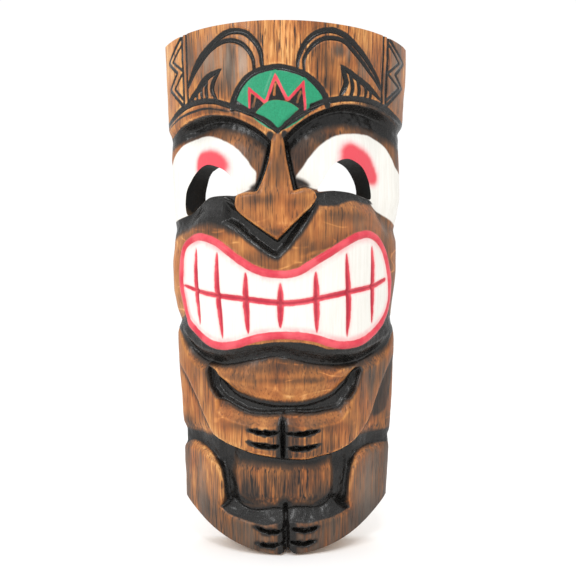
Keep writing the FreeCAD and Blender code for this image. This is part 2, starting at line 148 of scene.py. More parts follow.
def region(path, reach=8.0):
    """How far each chart point lies inside a closed outline; negative outside."""
    closed = np.vstack([path, path[:1]])
    gap = -stroke(closed, 0.0, reach)
    inside = np.zeros(S.shape, bool)
    for a, b in zip(closed, closed[1:]):
        if a[1] == b[1]:
            continue
        rows = slice(*np.searchsorted(Z_AXIS, sorted((a[1], b[1]))))
        crossing = a[0] + (Z_AXIS[rows] - a[1]) * (b[0] - a[0]) / (b[1] - a[1])
        inside[rows] ^= S_AXIS[None, :] > crossing[:, None]
    return np.where(inside, gap, -gap)


def level(points):
    """The height of an edge that crosses the whole chart, one value for each s."""
    curve = smooth(points)
    return np.interp(S_AXIS, curve[:, 0], curve[:, 1])[None, :]


def ease(low, high, value):
    """A soft step from 0 at low to 1 at high, or falling where low is the greater of the two."""
    share = np.clip((value - low) / (high - low), 0, 1)
    return share * share * (3 - 2 * share)


def either(*fields):
    """The most of the fields: inside any of their shapes."""
    return reduce(np.maximum, fields)


def both(*fields):
    """The least of the fields: inside all of their shapes."""
    return reduce(np.minimum, fields)


def blur(field, size):
    """Gaussian blur of a field, size in millimetres."""
    pad = int(3 * size / CHART_PITCH) + 1
    padded = np.pad(field, pad, mode="edge")
    rows = np.fft.fftfreq(padded.shape[0], CHART_PITCH)[:, None]
    columns = np.fft.rfftfreq(padded.shape[1], CHART_PITCH)[None, :]
    keep = np.exp(-2 * (np.pi * size) ** 2 * (rows ** 2 + columns ** 2))
    soft = np.fft.irfft2(np.fft.rfft2(padded) * keep, s=padded.shape)
    return soft[pad:-pad, pad:-pad]


def facets(generator, size, height):
    """The uneven flats that a chisel leaves."""
    rows = int((Z_AXIS[-1] - Z_AXIS[0]) / size) + 3
    columns = int(2 * CHART_HALF / size) + 3
    knots = generator.uniform(-height, height, (rows, columns))
    u = (S_AXIS + CHART_HALF) / size
    v = (Z_AXIS - Z_AXIS[0]) / size
    across = np.array([np.interp(u, np.arange(columns), row) for row in knots])
    return np.array([np.interp(v, np.arange(rows), column) for column in across.T]).T


def patches(spots):
    """Soft ovals: centre s, centre z, half-width, half-height, strength."""
    field = np.zeros(S.shape)
    for s, z, wide, tall, strength in spots:
        away = ((S - s) / wide) ** 2 + ((Z - z) / tall) ** 2
        field = np.maximum(field, strength * np.exp(-away))
    return field


def sample(field, s, z):
    """A chart field read at any places."""
    u = np.clip((s - S_AXIS[0]) / CHART_PITCH, 0, len(S_AXIS) - 1.001)
    v = np.clip((z - Z_AXIS[0]) / CHART_PITCH, 0, len(Z_AXIS) - 1.001)
    i, j = u.astype(int), v.astype(int)
    fu, fv = u - i, v - j
    low = field[j, i] * (1 - fu) + field[j, i + 1] * fu
    high = field[j + 1, i] * (1 - fu) + field[j + 1, i + 1] * fu
    return low * (1 - fv) + high * fv


# --- outlines on the chart, (s, z) ---

OUT = 170.0                           # beyond the chart's sides

BAND_LEFT = [(-OUT, 421), (-141, 427), (-113, 436), (-90, 439), (-69, 437), (-50, 430), (-36, 424),
             (-22, 417), (-7, 405)]
BAND_RIGHT = [(-7, 405), (6, 418), (21, 427), (35, 433), (50, 437), (66, 439), (84, 439),
              (107, 436), (129, 430), (OUT, 419)]
RIDGE_LEFT = [(-OUT, 408), (-138, 413), (-112, 421), (-85, 425), (-67, 424), (-49, 420), (-31, 411),
              (-20, 403), (-15, 397)]
RIDGE_RIGHT = [(-3, 397), (4, 405), (14, 414), (32, 425), (56, 433), (85, 434), (109, 431),
               (134, 421), (OUT, 412)]
BROWS_MEET = -7.0
BROW_STEP = 5.0                       # height of the overhang under the brow ridge

NOSE_SIDE_LEFT = [(-7, 404), (-13, 397), (-15, 385), (-18, 371), (-22, 360), (-27, 349)]
NOSE_WING_LEFT = [(-26, 349), (-45, 347), (-49, 341), (-48, 333), (-43, 327), (-27, 315), (-8, 302)]
NOSE_WING_RIGHT = [(-8, 302), (14, 324), (24, 334), (29, 343), (27, 349), (19, 352), (7, 349)]
NOSE_SIDE_RIGHT = [(7, 349), (4, 363), (0, 384), (-2, 397), (-7, 404)]
NOSE_CUT_LEFT = [(-14, 401), (-17, 387), (-20, 374), (-24, 362), (-30, 350)]
NOSE_CUT_RIGHT = [(-1, 402), (2, 385), (6, 366), (10, 351)]
NOSE_LEVEL = [(302, 2.2), (316, 0.6), (332, 0), (345, 0.6), (354, 2.4), (378, 3.2), (398, 2.6),
              (406, 1.4)]             # (z, depth of the nose's front)
VALLEY = [(-64, 320), (-53, 315), (-43, 307), (-31, 298), (-17, 288), (-8, 285), (-2, 290),
          (5, 297), (15, 310), (23, 322), (31, 337)]

WHITE_LEFT = [(-OUT, 372), (-146, 383), (-132, 395), (-120, 404), (-105, 408), (-89, 408),
              (-74, 404), (-59, 397), (-50, 391), (-41, 382), (-35, 374), (-30, 367), (-31, 354)]
WHITE_LEFT_FOOT = [(-31, 354), (-50, 347), (-85, 340), (-114, 329), (-125, 325), (-OUT, 312)]
WHITE_RIGHT = [(8, 360), (16, 371), (24, 382), (34, 393), (45, 401), (58, 406), (72, 408),
               (86, 409), (101, 408), (117, 402), (128, 389), (137, 379), (OUT, 362)]
WHITE_RIGHT_FOOT = [(OUT, 312), (125, 328), (107, 336), (95, 343), (60, 350), (30, 352), (8, 360)]
HOLE_LEFT = [(-120, 331), (-121, 352), (-113, 367), (-105, 374), (-96, 378), (-86, 379), (-75, 376),
             (-66, 372), (-59, 366), (-54, 357), (-51, 347), (-64, 347), (-80, 347), (-90, 345),
             (-104, 338)]
HOLE_RIGHT = [(33, 350), (38, 360), (46, 373), (55, 380), (66, 383), (76, 381), (85, 377), (93, 369),
              (99, 359), (101, 346), (87, 347), (71, 350), (50, 351)]
LID_TOP = [(-OUT, 322), (-140, 326), (-118, 331), (-104, 338), (-90, 345), (-80, 347), (-64, 347),
           (-46, 345), (0, 340), (32, 348), (50, 351), (71, 350), (87, 347), (101, 344), (112, 336),
           (128, 328), (OUT, 320)]
LID_LOW_LEFT = [(-OUT, 298), (-145, 313), (-113, 321), (-91, 324), (-74, 323), (-58, 317), (-44, 312)]
LID_LOW_RIGHT = [(26, 338), (40, 337), (51, 338), (62, 342), (74, 344), (90, 342), (103, 342)]

LIPS = [(-129, 263), (-128, 280), (-124, 297), (-114, 306), (-94, 311), (-73, 306), (-58, 297),
        (-41, 285), (-24, 276), (-6, 273), (10, 275), (25, 284), (42, 294), (57, 303), (74, 311),
        (90, 313), (106, 307), (119, 295), (128, 276), (134, 256), (135, 240), (125, 223),
        (104, 209), (84, 200), (64, 197), (46, 199), (30, 204), (11, 207), (-12, 207), (-30, 204),
        (-50, 198), (-70, 196), (-87, 200), (-107, 211), (-122, 222), (-127, 243)]
LIP_WIDTH, TEETH_EDGE = 7.4, 7.0      # how far in from the outline the lip ends and the teeth start
BITE = [(-120, 259), (-96, 253), (-71, 249), (-43, 246), (-4, 242), (15, 243), (31, 246), (62, 252),
        (96, 258), (119, 265)]
TOOTH_GAPS = [
    [(-99, 296), (-101, 262), (-97, 220)],
    [(-70, 291), (-71, 258), (-66, 207)],
    [(-39, 271), (-39, 242), (-37, 212)],
    [(-5, 261), (-5, 240), (-5, 218)],
    [(29, 272), (30, 245), (31, 213)],
    [(61, 290), (65, 240), (64, 209)],
    [(94, 298), (97, 270), (98, 221)],
]

CHIN_TOP = [(-OUT, 228), (-140, 224), (-122, 226), (-90, 215), (0, 222), (90, 215), (130, 232),
            (140, 228), (OUT, 232)]
CHIN_LOW = [(-OUT, 222), (-138, 214), (-128, 202), (-118, 192), (-102, 184), (-68, 181), (-34, 187),
            (-10, 190), (10, 187), (29, 183), (53, 181), (75, 181), (94, 184), (115, 190), (129, 198),
            (139, 211), (OUT, 222)]
BELLY_RIDGE = [(-OUT, 186), (-89, 179), (-74, 170), (-57, 165), (-25, 162), (-8, 160), (24, 162),
               (45, 168), (58, 175), (79, 179), (OUT, 186)]
BELLY_LOW = [(-91, 179), (-82, 173), (-58, 155), (-44, 150), (-26, 146), (-9, 144), (16, 144),
             (34, 147), (53, 153), (69, 164), (80, 176)]
GROOVE_LOW = [(88, 176), (81, 159), (71, 147), (62, 139), (49, 137), (25, 135), (6, 136), (-17, 134),
              (-35, 134), (-49, 137), (-65, 143), (-76, 148), (-88, 160), (-93, 181)]
FOREARM_TOP_LEFT = [(-75, 133), (-69, 129), (-49, 124), (-26, 121), (-12, 122), (-4, 124)]
FOREARM_TOP_RIGHT = [(0, 124), (8, 123), (21, 121), (44, 123), (60, 126), (70, 135)]
ARM_LOW_LEFT = [(-OUT, 208), (-131, 170), (-118, 152), (-105, 134), (-93, 118), (-86, 110),
                (-72, 104), (-52, 99), (-34, 95), (-4, 91)]
ARM_LOW_RIGHT = [(-2, 91), (20, 90), (34, 92), (53, 95), (74, 101), (86, 108), (99, 119), (107, 129),
                 (117, 149), (127, 169), (140, 186), (OUT, 215)]

LEG_LEFT = [(-OUT, 84), (-140, 93), (-131, 98), (-119, 99), (-96, 92), (-82, 82), (-76, 75),
            (-73, 62), (-73, 46), (-77, 39)]
SHELF_FRONT_LEFT = [(-77, 39), (-64, 33), (-42, 29), (-23, 26), (-10, 28), (-3, 30)]
SHELF_FRONT_RIGHT = [(3, 30), (10, 29), (25, 28), (39, 30), (54, 32), (76, 38)]
LEG_RIGHT = [(76, 38), (74, 48), (75, 62), (78, 76), (85, 87), (93, 93), (108, 96), (126, 97),
             (140, 96), (OUT, 94)]
SHELF_TOP = [(-77, 41), (-68, 46), (-40, 38), (-13, 41), (0, 40), (12, 42), (40, 41), (57, 47),
             (76, 40)]
PANEL_TOP = [(-80, 98), (-57, 90), (-32, 89), (-13, 88), (6, 87), (30, 86), (52, 91), (80, 98)]

FINGERS = [[(-42, 118.5), (-20, 116), (-3, 117)], [(-42, 107), (-22, 103), (-2, 104)],
           [(36, 118), (18, 115), (-4, 116)], [(37, 105), (18, 101), (-5, 103)]]
TOES = [[(-35, 24), (-20, 20), (-2, 21)], [(-33, 8), (-18, 6), (-1, 9)],
        [(37, 24), (22, 21), (6, 23)], [(34, 10), (20, 8), (6, 10)]]

ZIGZAGS = [
    ([(-108, 508), (-135, 488), (-118, 474), (-133, 460), (-109, 439)], 1.9),
    ([(-109, 499), (-126, 487), (-109, 475)], 1.5),
    ([(-110, 470), (-123, 459), (-109, 446)], 1.5),
    ([(109, 504), (136, 488), (120, 473), (134, 462), (108, 440)], 1.9),
    ([(108, 499), (126, 486), (108, 472)], 1.6),
    ([(109, 470), (128, 461), (107, 445)], 1.6),
]
UPRIGHTS = [(-107.5, 1.7), (-101.0, 1.3), (98.5, 1.4), (105.5, 1.9)]
ARCHES = [
    ([(-101, 456), (-87, 476), (-76, 486), (-64, 494), (-54, 499), (-45, 500), (-35, 497),
      (-27, 489), (-22, 479), (-20, 463)], 3.1),
    ([(-100, 455), (-89, 468), (-74, 483), (-62, 490), (-52, 492), (-43, 490), (-35, 484),
      (-29, 474), (-27, 459)], 2.4),
    ([(10, 460), (11, 472), (16, 485), (25, 495), (38, 500), (51, 498), (62, 491), (77, 478),
      (88, 467), (97, 455)], 3.1),
    ([(16, 459), (16, 472), (22, 483), (32, 491), (43, 493), (53, 491), (65, 481), (82, 466),
      (96, 453)], 2.4),
]
BLADES = [
    ([(-103, 440), (-87, 450), (-75, 460), (-59, 466)], 3.6),
    ([(-60, 465), (-67, 456), (-69, 447), (-64, 437)], 2.6),
    ([(-74, 461), (-76, 450), (-75, 438)], 2.1),
    ([(-80, 456), (-82, 448), (-81, 438)], 1.8),
    ([(-86, 452), (-88, 446), (-87, 438)], 1.7),
    ([(-92, 449), (-94, 444), (-92, 438)], 1.6),
    ([(49, 469), (66, 459), (80, 452), (98, 442)], 3.3),
    ([(50, 468), (55, 453), (49, 438)], 2.9),
    ([(58, 463), (62, 451), (60, 438)], 2.2),
    ([(66, 459), (69, 449), (68, 438)], 2.0),
    ([(74, 455), (77, 447), (76, 438)], 1.9),
    ([(81, 452), (83, 445), (82, 438)], 1.8),
]
BADGE_ARCH = [(-49, 428), (-46, 438), (-39, 450), (-30, 458), (-20, 462), (-7, 464), (7, 461),
              (17, 457), (27, 449), (34, 440), (38, 430)]
BADGE_CROWN = [(-34, 425), (-33, 447), (-18, 433), (-9, 459), (2, 435), (16, 452), (19, 425)]
BADGE_FAN_TOP = [(-27, 422), (-20, 429), (-13, 433), (-4, 433), (5, 430), (12, 425)]
BADGE_FAN_LEFT = [(-7, 404), (-10, 411), (-17, 417), (-27, 422)]
BADGE_FAN_RIGHT = [(12, 425), (4, 418), (-3, 411), (-7, 404)]
BADGE_SLIVERS = [[(-29, 428), (-26, 438)], [(-10, 438), (-9, 448)], [(10, 431), (13, 441)]]

HAND_SPLIT = [(-3, 130), (-3, 112), (-2.5, 93)]
FOOT_SPLIT = [(0, 44), (0.5, 22), (1, -6)]
HAND_SOOT = [(-3, 130), (-3, 112), (-3, 93)]
FOOT_SOOT = [(0, 42), (1, 22), (2, -6)]
NOSTRIL_SOOT = [(4, 361), (15, 358), (22, 355)]
CORNER_SOOT = [(-23, 357), (-34, 353)]
SHELF_WEDGES = [[(-68, 44), (-68, 78), (-60, 66), (-54, 52), (-38, 44)],
                [(62, 44), (62, 68), (52, 56), (34, 44)]]
ELBOW_FLAT = [(141, 186), (138, 166), (133, 142), (130, 132), (119, 126), (113, 129), (122, 150),
              (133, 172)]
RIDGE_LINE = [(-152, 419), (-120, 428), (-95, 431), (-75, 431), (-48, 424)]
UNDER_CROWN = [(-33, 421), (-33, 447), (-18, 433), (-9, 459), (2, 435), (16, 452), (19, 421)]
BADGE_FOOT = [(-47, 434), (-7, 405), (37, 435)]

# How far the log's own edge stands off a true cone at the flat back: (z, millimetres in)
EDGE_LEFT = [(40, -0.5), (91, -0.2), (97, 2.3), (110, 2.6), (117, 0), (166, -1.7), (211, -1.7),
             (224, 2.8), (235, -0.6), (254, -3.4), (286, -3.0), (305, -0.4), (317, 2.1), (330, 1),
             (390, 0.4), (409, 2.4), (415, 1.5), (420, -1), (508, -0.6)]
EDGE_RIGHT = [(40, -2), (91, -2.5), (104, -1), (110, -2.6), (135, -3.4), (191, -3), (211, -2.2),
              (223, 2.2), (236, 1.5), (273, -1.4), (305, 0), (317, 3.3), (330, 1), (349, -1.8),
              (386, 0.7), (412, 2.8), (418, 3.6), (424, -0.6), (481, -1.8), (508, -0.9)]


# --- carving depths, in millimetres from the log's surface ---

def cut_across(points_left, points_right):
    """The height of a brow edge, drawn in two halves that meet over the nose."""
    return np.where(S_AXIS[None, :] < BROWS_MEET, level(points_left), level(points_right))


def between(low, high):
    """0 at the low edge, 1 at the high one."""
    return np.clip((Z - low) / np.maximum(high - low, 0.5), 0, 1)


def lay(depth, field, profile, wall=1.6):
    """Put a form on the carving where its field is positive, with a wall of this width."""
    share = ease(-wall, wall * 0.4, field)
    return depth * (1 - share) + profile * share


def rounded(field, drop, width):
    """Extra depth that rounds a form's edge over."""
    return drop * (1 - np.clip(field / width, 0, 1)) ** 2


def shape_fields():
    """Every outline as a field, named."""
    above = [(OUT, 600), (-OUT, 600)]
    ragged = facets(np.random.default_rng(5), 3, 0.9)
    return {
        "band": region(joined(BAND_LEFT, BAND_RIGHT, above)),
        "band_edge": stroke(joined(BAND_LEFT, BAND_RIGHT), 2.7),
        "ridge": region(joined(RIDGE_LEFT, [(-9, 393)], RIDGE_RIGHT, above)),
        "nose": region(joined(NOSE_SIDE_LEFT, NOSE_WING_LEFT, NOSE_WING_RIGHT, NOSE_SIDE_RIGHT)),
        "nose_cut": either(tapered(NOSE_CUT_LEFT, 2.6, 2.2, 2.4), tapered(NOSE_CUT_RIGHT, 2.4, 1.6, 2.6)),
        "valley": region(joined(VALLEY, [(31, 345), (-8, 320), (-64, 345)])),
        "white": either(region(joined(WHITE_LEFT, WHITE_LEFT_FOOT)),
                        region(joined(WHITE_RIGHT, WHITE_RIGHT_FOOT))),
        "hole": either(region(loop(HOLE_LEFT), 24), region(loop(HOLE_RIGHT), 24)),
        "lips": region(loop(LIPS), 16),
        "gaps": either(*[tapered(points, 3.3, 0.5, 0.4) for points in TOOTH_GAPS]),
        "bite": tapered(BITE, 3.0, 1.4, 2.2),
        "chin": region(joined(CHIN_TOP, CHIN_LOW[::-1])),
        "belly": region(joined(BELLY_LOW, [(80, 215), (-91, 215)])),
        "groove": region(joined(BELLY_LOW, GROOVE_LOW)),
        "arm_left": region(joined(ARM_LOW_LEFT, [(-4, 91), (-4, 134)], GROOVE_LOW[7:],
                                  [(-93, 225), (-OUT, 225)])),
        "arm_right": region(joined(ARM_LOW_RIGHT, [(OUT, 225), (88, 225)], GROOVE_LOW[:7],
                                   [(-2, 135), (-2, 91)])),
        "leg_left": region(joined(LEG_LEFT, SHELF_FRONT_LEFT, [(-3, -20), (-OUT, -20)])),
        "leg_right": region(joined(SHELF_FRONT_RIGHT, LEG_RIGHT, [(OUT, -20), (3, -20)])),
        "fingers": either(*[tapered(points, 2.7) for points in FINGERS]) + ragged,
        "toes": either(*[tapered(points, 2.7, 0.3, 1.6) for points in TOES]) + ragged,
        "carved_lines": either(*[line(points, half, corners=True) for points, half in ZIGZAGS],
                               *[line([(s, 440), (s, HEIGHT + 4)], half) for s, half in UPRIGHTS],
                               *[tapered(points, half, 0.8, 1.4) for points, half in ARCHES],
                               *[tapered(points, half, 0.5, 0.8) for points, half in BLADES]),
        "badge": region(joined(BADGE_ARCH, [(36, 434), (-7, 405), (-46, 433)])),
        "badge_arch": line(BADGE_ARCH, 3.0),
        "badge_crown": line(BADGE_CROWN, 2.7, corners=True),
        "badge_fan": region(joined(BADGE_FAN_TOP, BADGE_FAN_RIGHT, BADGE_FAN_LEFT)),
        "badge_slivers": either(*[line(points, 1.0) for points in BADGE_SLIVERS]),
    }


def face_depth(f):
    """Brow, sockets, nose, cheeks, mouth and chin."""
    inner = ease(145, 100, np.abs(S))
    below_lid = level(LID_TOP) - Z
    depth = 3 + 8.5 * inner * ease(22, 0, below_lid)
    ridge = cut_across(RIDGE_LEFT, RIDGE_RIGHT)
    under = ridge - BROW_STEP
    depth += 6.0 * inner * np.exp(-(np.minimum(Z - under, 0) / 18) ** 2)
    hung = 1 - between(under, ridge)
    depth = np.where(Z > under, 1.8 + (depth + 1 - 1.8) * np.sin(hung * np.pi / 2), depth)
    depth = lay(depth, f["valley"], 3.5 + 6.5 * ease(0, 8, f["valley"]), wall=1)
    depth = lay(depth, f["ridge"], 1.6 + rounded(f["ridge"], 1.2, 3))
    depth = lay(depth, f["band"], rounded(f["band"], 0.8, 3))
    nose_level = np.interp(Z, *zip(*NOSE_LEVEL))
    depth += 1.8 * ease(-0.6, 2.2, f["nose_cut"])
    depth = lay(depth, f["nose"], nose_level + rounded(f["nose"], 1.8, 5))
    above_chin = Z - level(CHIN_LOW)
    undercut = 2.2 + 10.5 * ease(17, 0, above_chin) * ease(142, 118, np.abs(S))
    depth = np.where(f["chin"] > -2, np.maximum(depth, undercut), depth)
    lip = np.clip(f["lips"] / LIP_WIDTH, 0, 1)
    mouth = 2.4 - 2.5 * np.sin(np.pi * lip) ** 0.75 - 0.7 * ease(8, 12, f["lips"])
    depth = lay(depth, f["lips"], mouth, wall=1.2)
    inside_lips = ease(6.5, 7.5, f["lips"])
    depth += inside_lips * (2.2 * ease(-0.8, 2.0, f["gaps"]) + 1.6 * ease(-0.8, 1.4, f["bite"]))
    return depth


def belly_depth():
    """Two flats that meet in a ridge: one faces up to the chin, one down to the groove."""
    chin, ridge, low = level(CHIN_LOW), level(BELLY_RIDGE), level(BELLY_LOW)
    upper = np.clip((Z - ridge) / np.maximum(chin - ridge, 4), 0, 1)
    lower = np.clip((ridge - Z) / np.maximum(ridge - low, 4), 0, 1)
    return 4.6 + 6.5 * upper ** 1.3 + 7.5 * lower ** 1.4


def body_depth(f):
    """Belly, arms and hands, lap, legs and feet."""
    side = 8.0 + 4 * ease(120, 104, Z)
    lap = 8.5 + 3.5 * ease(74, 90, Z) + 4 * ease(56, 41, Z) + 4 * ease(50, 63, np.abs(S + 3))
    depth = side + (lap - side) * ease(84, 78, np.abs(S)) * ease(116, 106, Z)
    under_chin = level(CHIN_LOW) - Z
    arm = 3.8 + 6 * ease(11, 0, under_chin)
    for name, top, reach in (("arm_left", FOREARM_TOP_LEFT, (-78, -3)),
                             ("arm_right", FOREARM_TOP_RIGHT, (-1, 73))):
        over = np.clip((Z - level(top)) / 11, 0, 1.2)
        forearm = ((S > reach[0]) & (S < reach[1]) & (Z < 146)).astype(float)
        bevel = 7.5 * over * blur(forearm, 1.0)
        depth = lay(depth, f[name], arm + bevel + rounded(f[name], 1.6, 5))
    depth = lay(depth, f["groove"], 11 + 4 * ease(0, 5, f["groove"]), wall=1.2)
    depth = lay(depth, f["belly"], belly_depth(), wall=1.4)
    shelf_top = level(SHELF_TOP)
    shelf_front = np.where(S_AXIS[None, :] < 0, level(SHELF_FRONT_LEFT), level(SHELF_FRONT_RIGHT))
    slope = (shelf_top - Z) / np.maximum(shelf_top - shelf_front, 2)
    shelf = 14.5 - 9.5 * np.clip(slope, 0, 1)
    depth = np.where((slope > 0) & (np.abs(S) < 78) & (Z < 60), shelf, depth)
    for name in ("leg_left", "leg_right"):
        knee = rounded(f[name], 5.0, 8) * ease(78, 92, Z)
        depth = lay(depth, f[name], 3.2 + knee + rounded(f[name], 1.4, 4))
    depth += 6.5 * ease(0, 2.6, f["fingers"]) + 6.5 * ease(0, 2.6, f["toes"])
    depth += 2.6 * ease(-1.5, 2.4, tapered(HAND_SPLIT, 2.4, 0.4, 1.6))
    return depth + 4.5 * ease(-1.5, 2.8, tapered(FOOT_SPLIT, 2.8, 2, 2.6))


def edge_relief():
    """The log's own unevenness where it meets the flat back."""
    left = np.interp(Z_AXIS, *zip(*EDGE_LEFT))[:, None]
    right = np.interp(Z_AXIS, *zip(*EDGE_RIGHT))[:, None]
    return blur(left * ease(-100, -142, S) + right * ease(100, 142, S), 1.4)


def carving_depth(f):
    """Depth of cut in from the log's surface."""
    below_chin = ease(-0.9, 0.9, level(CHIN_LOW) - Z)
    depth = face_depth(f) * (1 - below_chin) + body_depth(f) * below_chin
    lines = either(f["carved_lines"], f["badge_arch"], f["band_edge"])
    badge = ease(-0.5, 1, f["badge"]) * ease(0.8, -0.6, f["badge_arch"])
    crown = ease(-1, 0.8, f["badge_crown"]) * badge
    depth += 2.1 * ease(-0.5, 2, lines) + 0.7 * badge - 0.7 * crown
    depth *= 1 - 0.96 * ease(108, 142, np.abs(S))
    depth += edge_relief()
    generator = np.random.default_rng(21)
    depth += facets(generator, 17, 0.35) + facets(generator, 7, 0.16)
    depth += facets(generator, 3.4, 0.34) * ease(0.3, 0.9, soot_and_shadow_map(f))
    return blur(depth, 0.55)


# --- paint on the chart ---

# How much the wood is browned up the log, and how much its fibres show: (z, share)
SCORCH = [(0, 0.78), (34, 0.74), (50, 0.60), (60, 0.55), (95, 0.50), (110, 0.38), (200, 0.33),
          (300, 0.36), (420, 0.42), (440, 0.35), (508, 0.29)]
GRAIN = [(0, 0.7), (44, 0.7), (60, 0.8), (104, 0.8), (116, 0.70), (122, 0.30), (190, 0.35),
         (300, 0.30), (330, 0.5), (410, 0.5), (430, 0.65), (508, 0.75)]

# Soft oval patches: (s, z, half-width, half-height, strength)
DARKER = [
    (-94, 482, 8, 16, 0.30), (-70, 474, 12, 16, 0.34), (-50, 472, 7, 26, 0.62), (-62, 452, 10, 10, 0.36),
    (48, 482, 7, 6, 0.55), (34, 470, 12, 20, 0.22), (66, 474, 18, 18, 0.26), (36, 448, 12, 12, 0.34),
    (128, 480, 10, 44, 0.30), (-134, 460, 8, 30, 0.20), (26, 480, 6, 30, 0.16), (-60, 428, 44, 6, 0.26),
    (70, 432, 50, 4, 0.22), (-36, 386, 14, 26, 0.36), (-84, 412, 40, 12, 0.30), (16, 384, 14, 24, 0.50),
    (40, 404, 20, 12, 0.40), (90, 412, 40, 8, 0.30), (-8, 368, 7, 14, 0.20), (-24, 340, 16, 5, 0.26),
    (12, 338, 12, 5, 0.20), (-8, 309, 8, 6, 0.26), (-70, 314, 40, 8, 0.20), (60, 326, 30, 7, 0.22),
    (24, 296, 30, 10, 0.16), (-20, 286, 20, 8, 0.20), (-8, 180, 90, 6, 0.24), (20, 167, 50, 3, 0.26),
    (-50, 170, 20, 4, 0.16), (-100, 176, 24, 12, 0.18), (104, 172, 24, 16, 0.22), (-84, 150, 10, 16, 0.10),
    (86, 150, 10, 16, 0.12), (-50, 122, 24, 6, 0.26), (42, 122, 30, 6, 0.24), (0, 110, 18, 20, 0.50),
    (0, 62, 50, 16, 0.10), (-42, 54, 14, 14, 0.34), (44, 52, 12, 12, 0.34), (104, 56, 30, 30, 0.04),
    (-100, 40, 14, 14, 0.20), (-112, 82, 8, 10, 0.10), (-130, 118, 12, 8, 0.30),
]
LIGHTER = [
    (-2, 488, 13, 34, 0.20), (-112, 480, 8, 60, 0.12), (-136, 472, 16, 40, 0.36), (140, 472, 14, 40, 0.30),
    (-8, 318, 14, 12, 0.12), (-30, 150, 50, 5, 0.12), (-95, 70, 14, 34, 0.16), (-88, 300, 40, 6, 0.10),
    (-118, 30, 14, 10, 0.30), (-40, 112, 22, 12, 0.06), (100, 302, 20, 8, 0.08),
]
GRAINY = [(-2, 490, 20, 30, 0.9), (0, 62, 50, 20, 0.3), (-105, 160, 30, 40, 0.4), (105, 160, 30, 40, 0.4)]
SMOKED = [
    (-128, 470, 14, 50, 0.25), (-66, 480, 24, 22, 1.0), (-38, 468, 10, 22, 1.0), (50, 482, 8, 8, 0.9),
    (76, 470, 12, 16, 0.4), (122, 470, 14, 36, 0.6), (104, 60, 30, 40, 0.40), (112, 160, 24, 30, 0.25),
    (-100, 60, 30, 34, 0.42), (0, 16, 90, 22, 0.34), (96, 318, 40, 14, 0.3),
]


def airbrushed(field, soft):
    """Paint that fades out over its edge."""
    return ease(-soft, soft * 0.35, field)


def brow_soot():
    """Black under the brow, its fade shorter on the left."""
    ridge = cut_across(RIDGE_LEFT, RIDGE_RIGHT)
    fade = np.where(S_AXIS < -5, 17.0, 27.0)[None, :]
    return ease(-1, -0.4, (Z - ridge) / fade) * ease(0.8, -0.8, Z - ridge)


def lid_soot():
    """Black on the tops of the cheeks, under the eye holes."""
    low = either(level(LID_LOW_LEFT) * (S_AXIS < -30)[None, :],
                 level(LID_LOW_RIGHT) * (S_AXIS > 20)[None, :])
    fade = np.where(S_AXIS < 0, 13.0, 4.0)[None, :]
    share = ease(-1, 0.2, (Z - low) / fade) * ease(1, -1, Z - level(LID_TOP)) * (low > 0)
    return share * ease(112, 98, S)


def chin_soot(f):
    """Black under the lip, down to the chin's lower edge."""
    rim = -f["lips"] - 2.6 * ease(52, 30, np.abs(S - 8))
    share = ease(-8.0, 3.5, f["chin"]) * ease(-0.4, 0.8, rim)
    return share * (1 - ease(120, 150, np.abs(S)) * (f["chin"] < 0))


def soot_and_shadow_map(f):
    """Black that was sprayed or burnt on, 0 to 1, with black painted shadow under the hands and beside the
    arms.
    """
    corners = either(tapered(NOSTRIL_SOOT, 1.6, 1.2, 0.5, reach=10),
                     tapered(CORNER_SOOT, 1.0, 0.8, 0.5, reach=10))
    valley = airbrushed(f["valley"], 5.0) * (1 - ease(322, 340, Z) * (S < 0))
    soot_and_shadow = either(brow_soot(), lid_soot(), airbrushed(f["nose_cut"], 3.0), 0.8 * airbrushed(corners, 7.0),
                  valley)
    soot_and_shadow *= ease(0.7, -0.7, f["nose"])
    above_ridge = Z - cut_across(RIDGE_LEFT, RIDGE_RIGHT)
    soot_and_shadow = either(soot_and_shadow, 0.8 * ease(46, 108, S) * ease(-1, 1, above_ridge))
    soot_and_shadow *= ease(0.6, -0.6, f["band"])
    soot_and_shadow = either(soot_and_shadow, chin_soot(f), hip_soot_and_shadow(f))
    sprayed = ((f["groove"], 6.0), (f["fingers"], 2.6), (f["toes"], 3.8),
               (tapered(HAND_SOOT, 5.0, 1, 6, reach=8), 4.5),
               (tapered(FOOT_SOOT, 8, 7, 9, reach=12), 9.0))
    return np.clip(either(soot_and_shadow, *[airbrushed(field, soft) for field, soft in sprayed]), 0, 1)


def hip_soot_and_shadow(f):
    """Black under the hands, beside the thighs, in the elbow notches and on the feet's tops; under the
    hands and just outside the arms it is partly painted shadow.
    """
    arms = either(f["arm_left"], f["arm_right"])
    legs = either(f["leg_left"], f["leg_right"])
    free = ease(0.8, -0.8, arms) * ease(0.8, -0.8, legs)
    # black under the hands: black paint and a painted shadow
    paint_and_shadow_under_hands = ease(-12, 5, Z - level(PANEL_TOP))
    beside = ease(50, 68, np.abs(S + 4)) * ease(92, 84, np.abs(S))
    shelf = ease(8, -1, Z - level(SHELF_TOP))
    corners = ease(-6, 3, either(*[region(np.array(outline, float)) for outline in SHELF_WEDGES]))
    inner = either(paint_and_shadow_under_hands, beside, shelf, corners) * ease(104, 98, Z - 0.07 * np.abs(S))
    notch = ease(116, 100, Z) * ease(84, 90, Z) * ease(72, 86, np.abs(S))
    # dark just outside the arms: painted shadow, with black paint in the hip notches
    rim = 0.8 * ease(-7, 0, arms) * ease(112, 104, np.abs(S)) * ease(150, 120, Z)
    return either(inner, notch, rim) * free


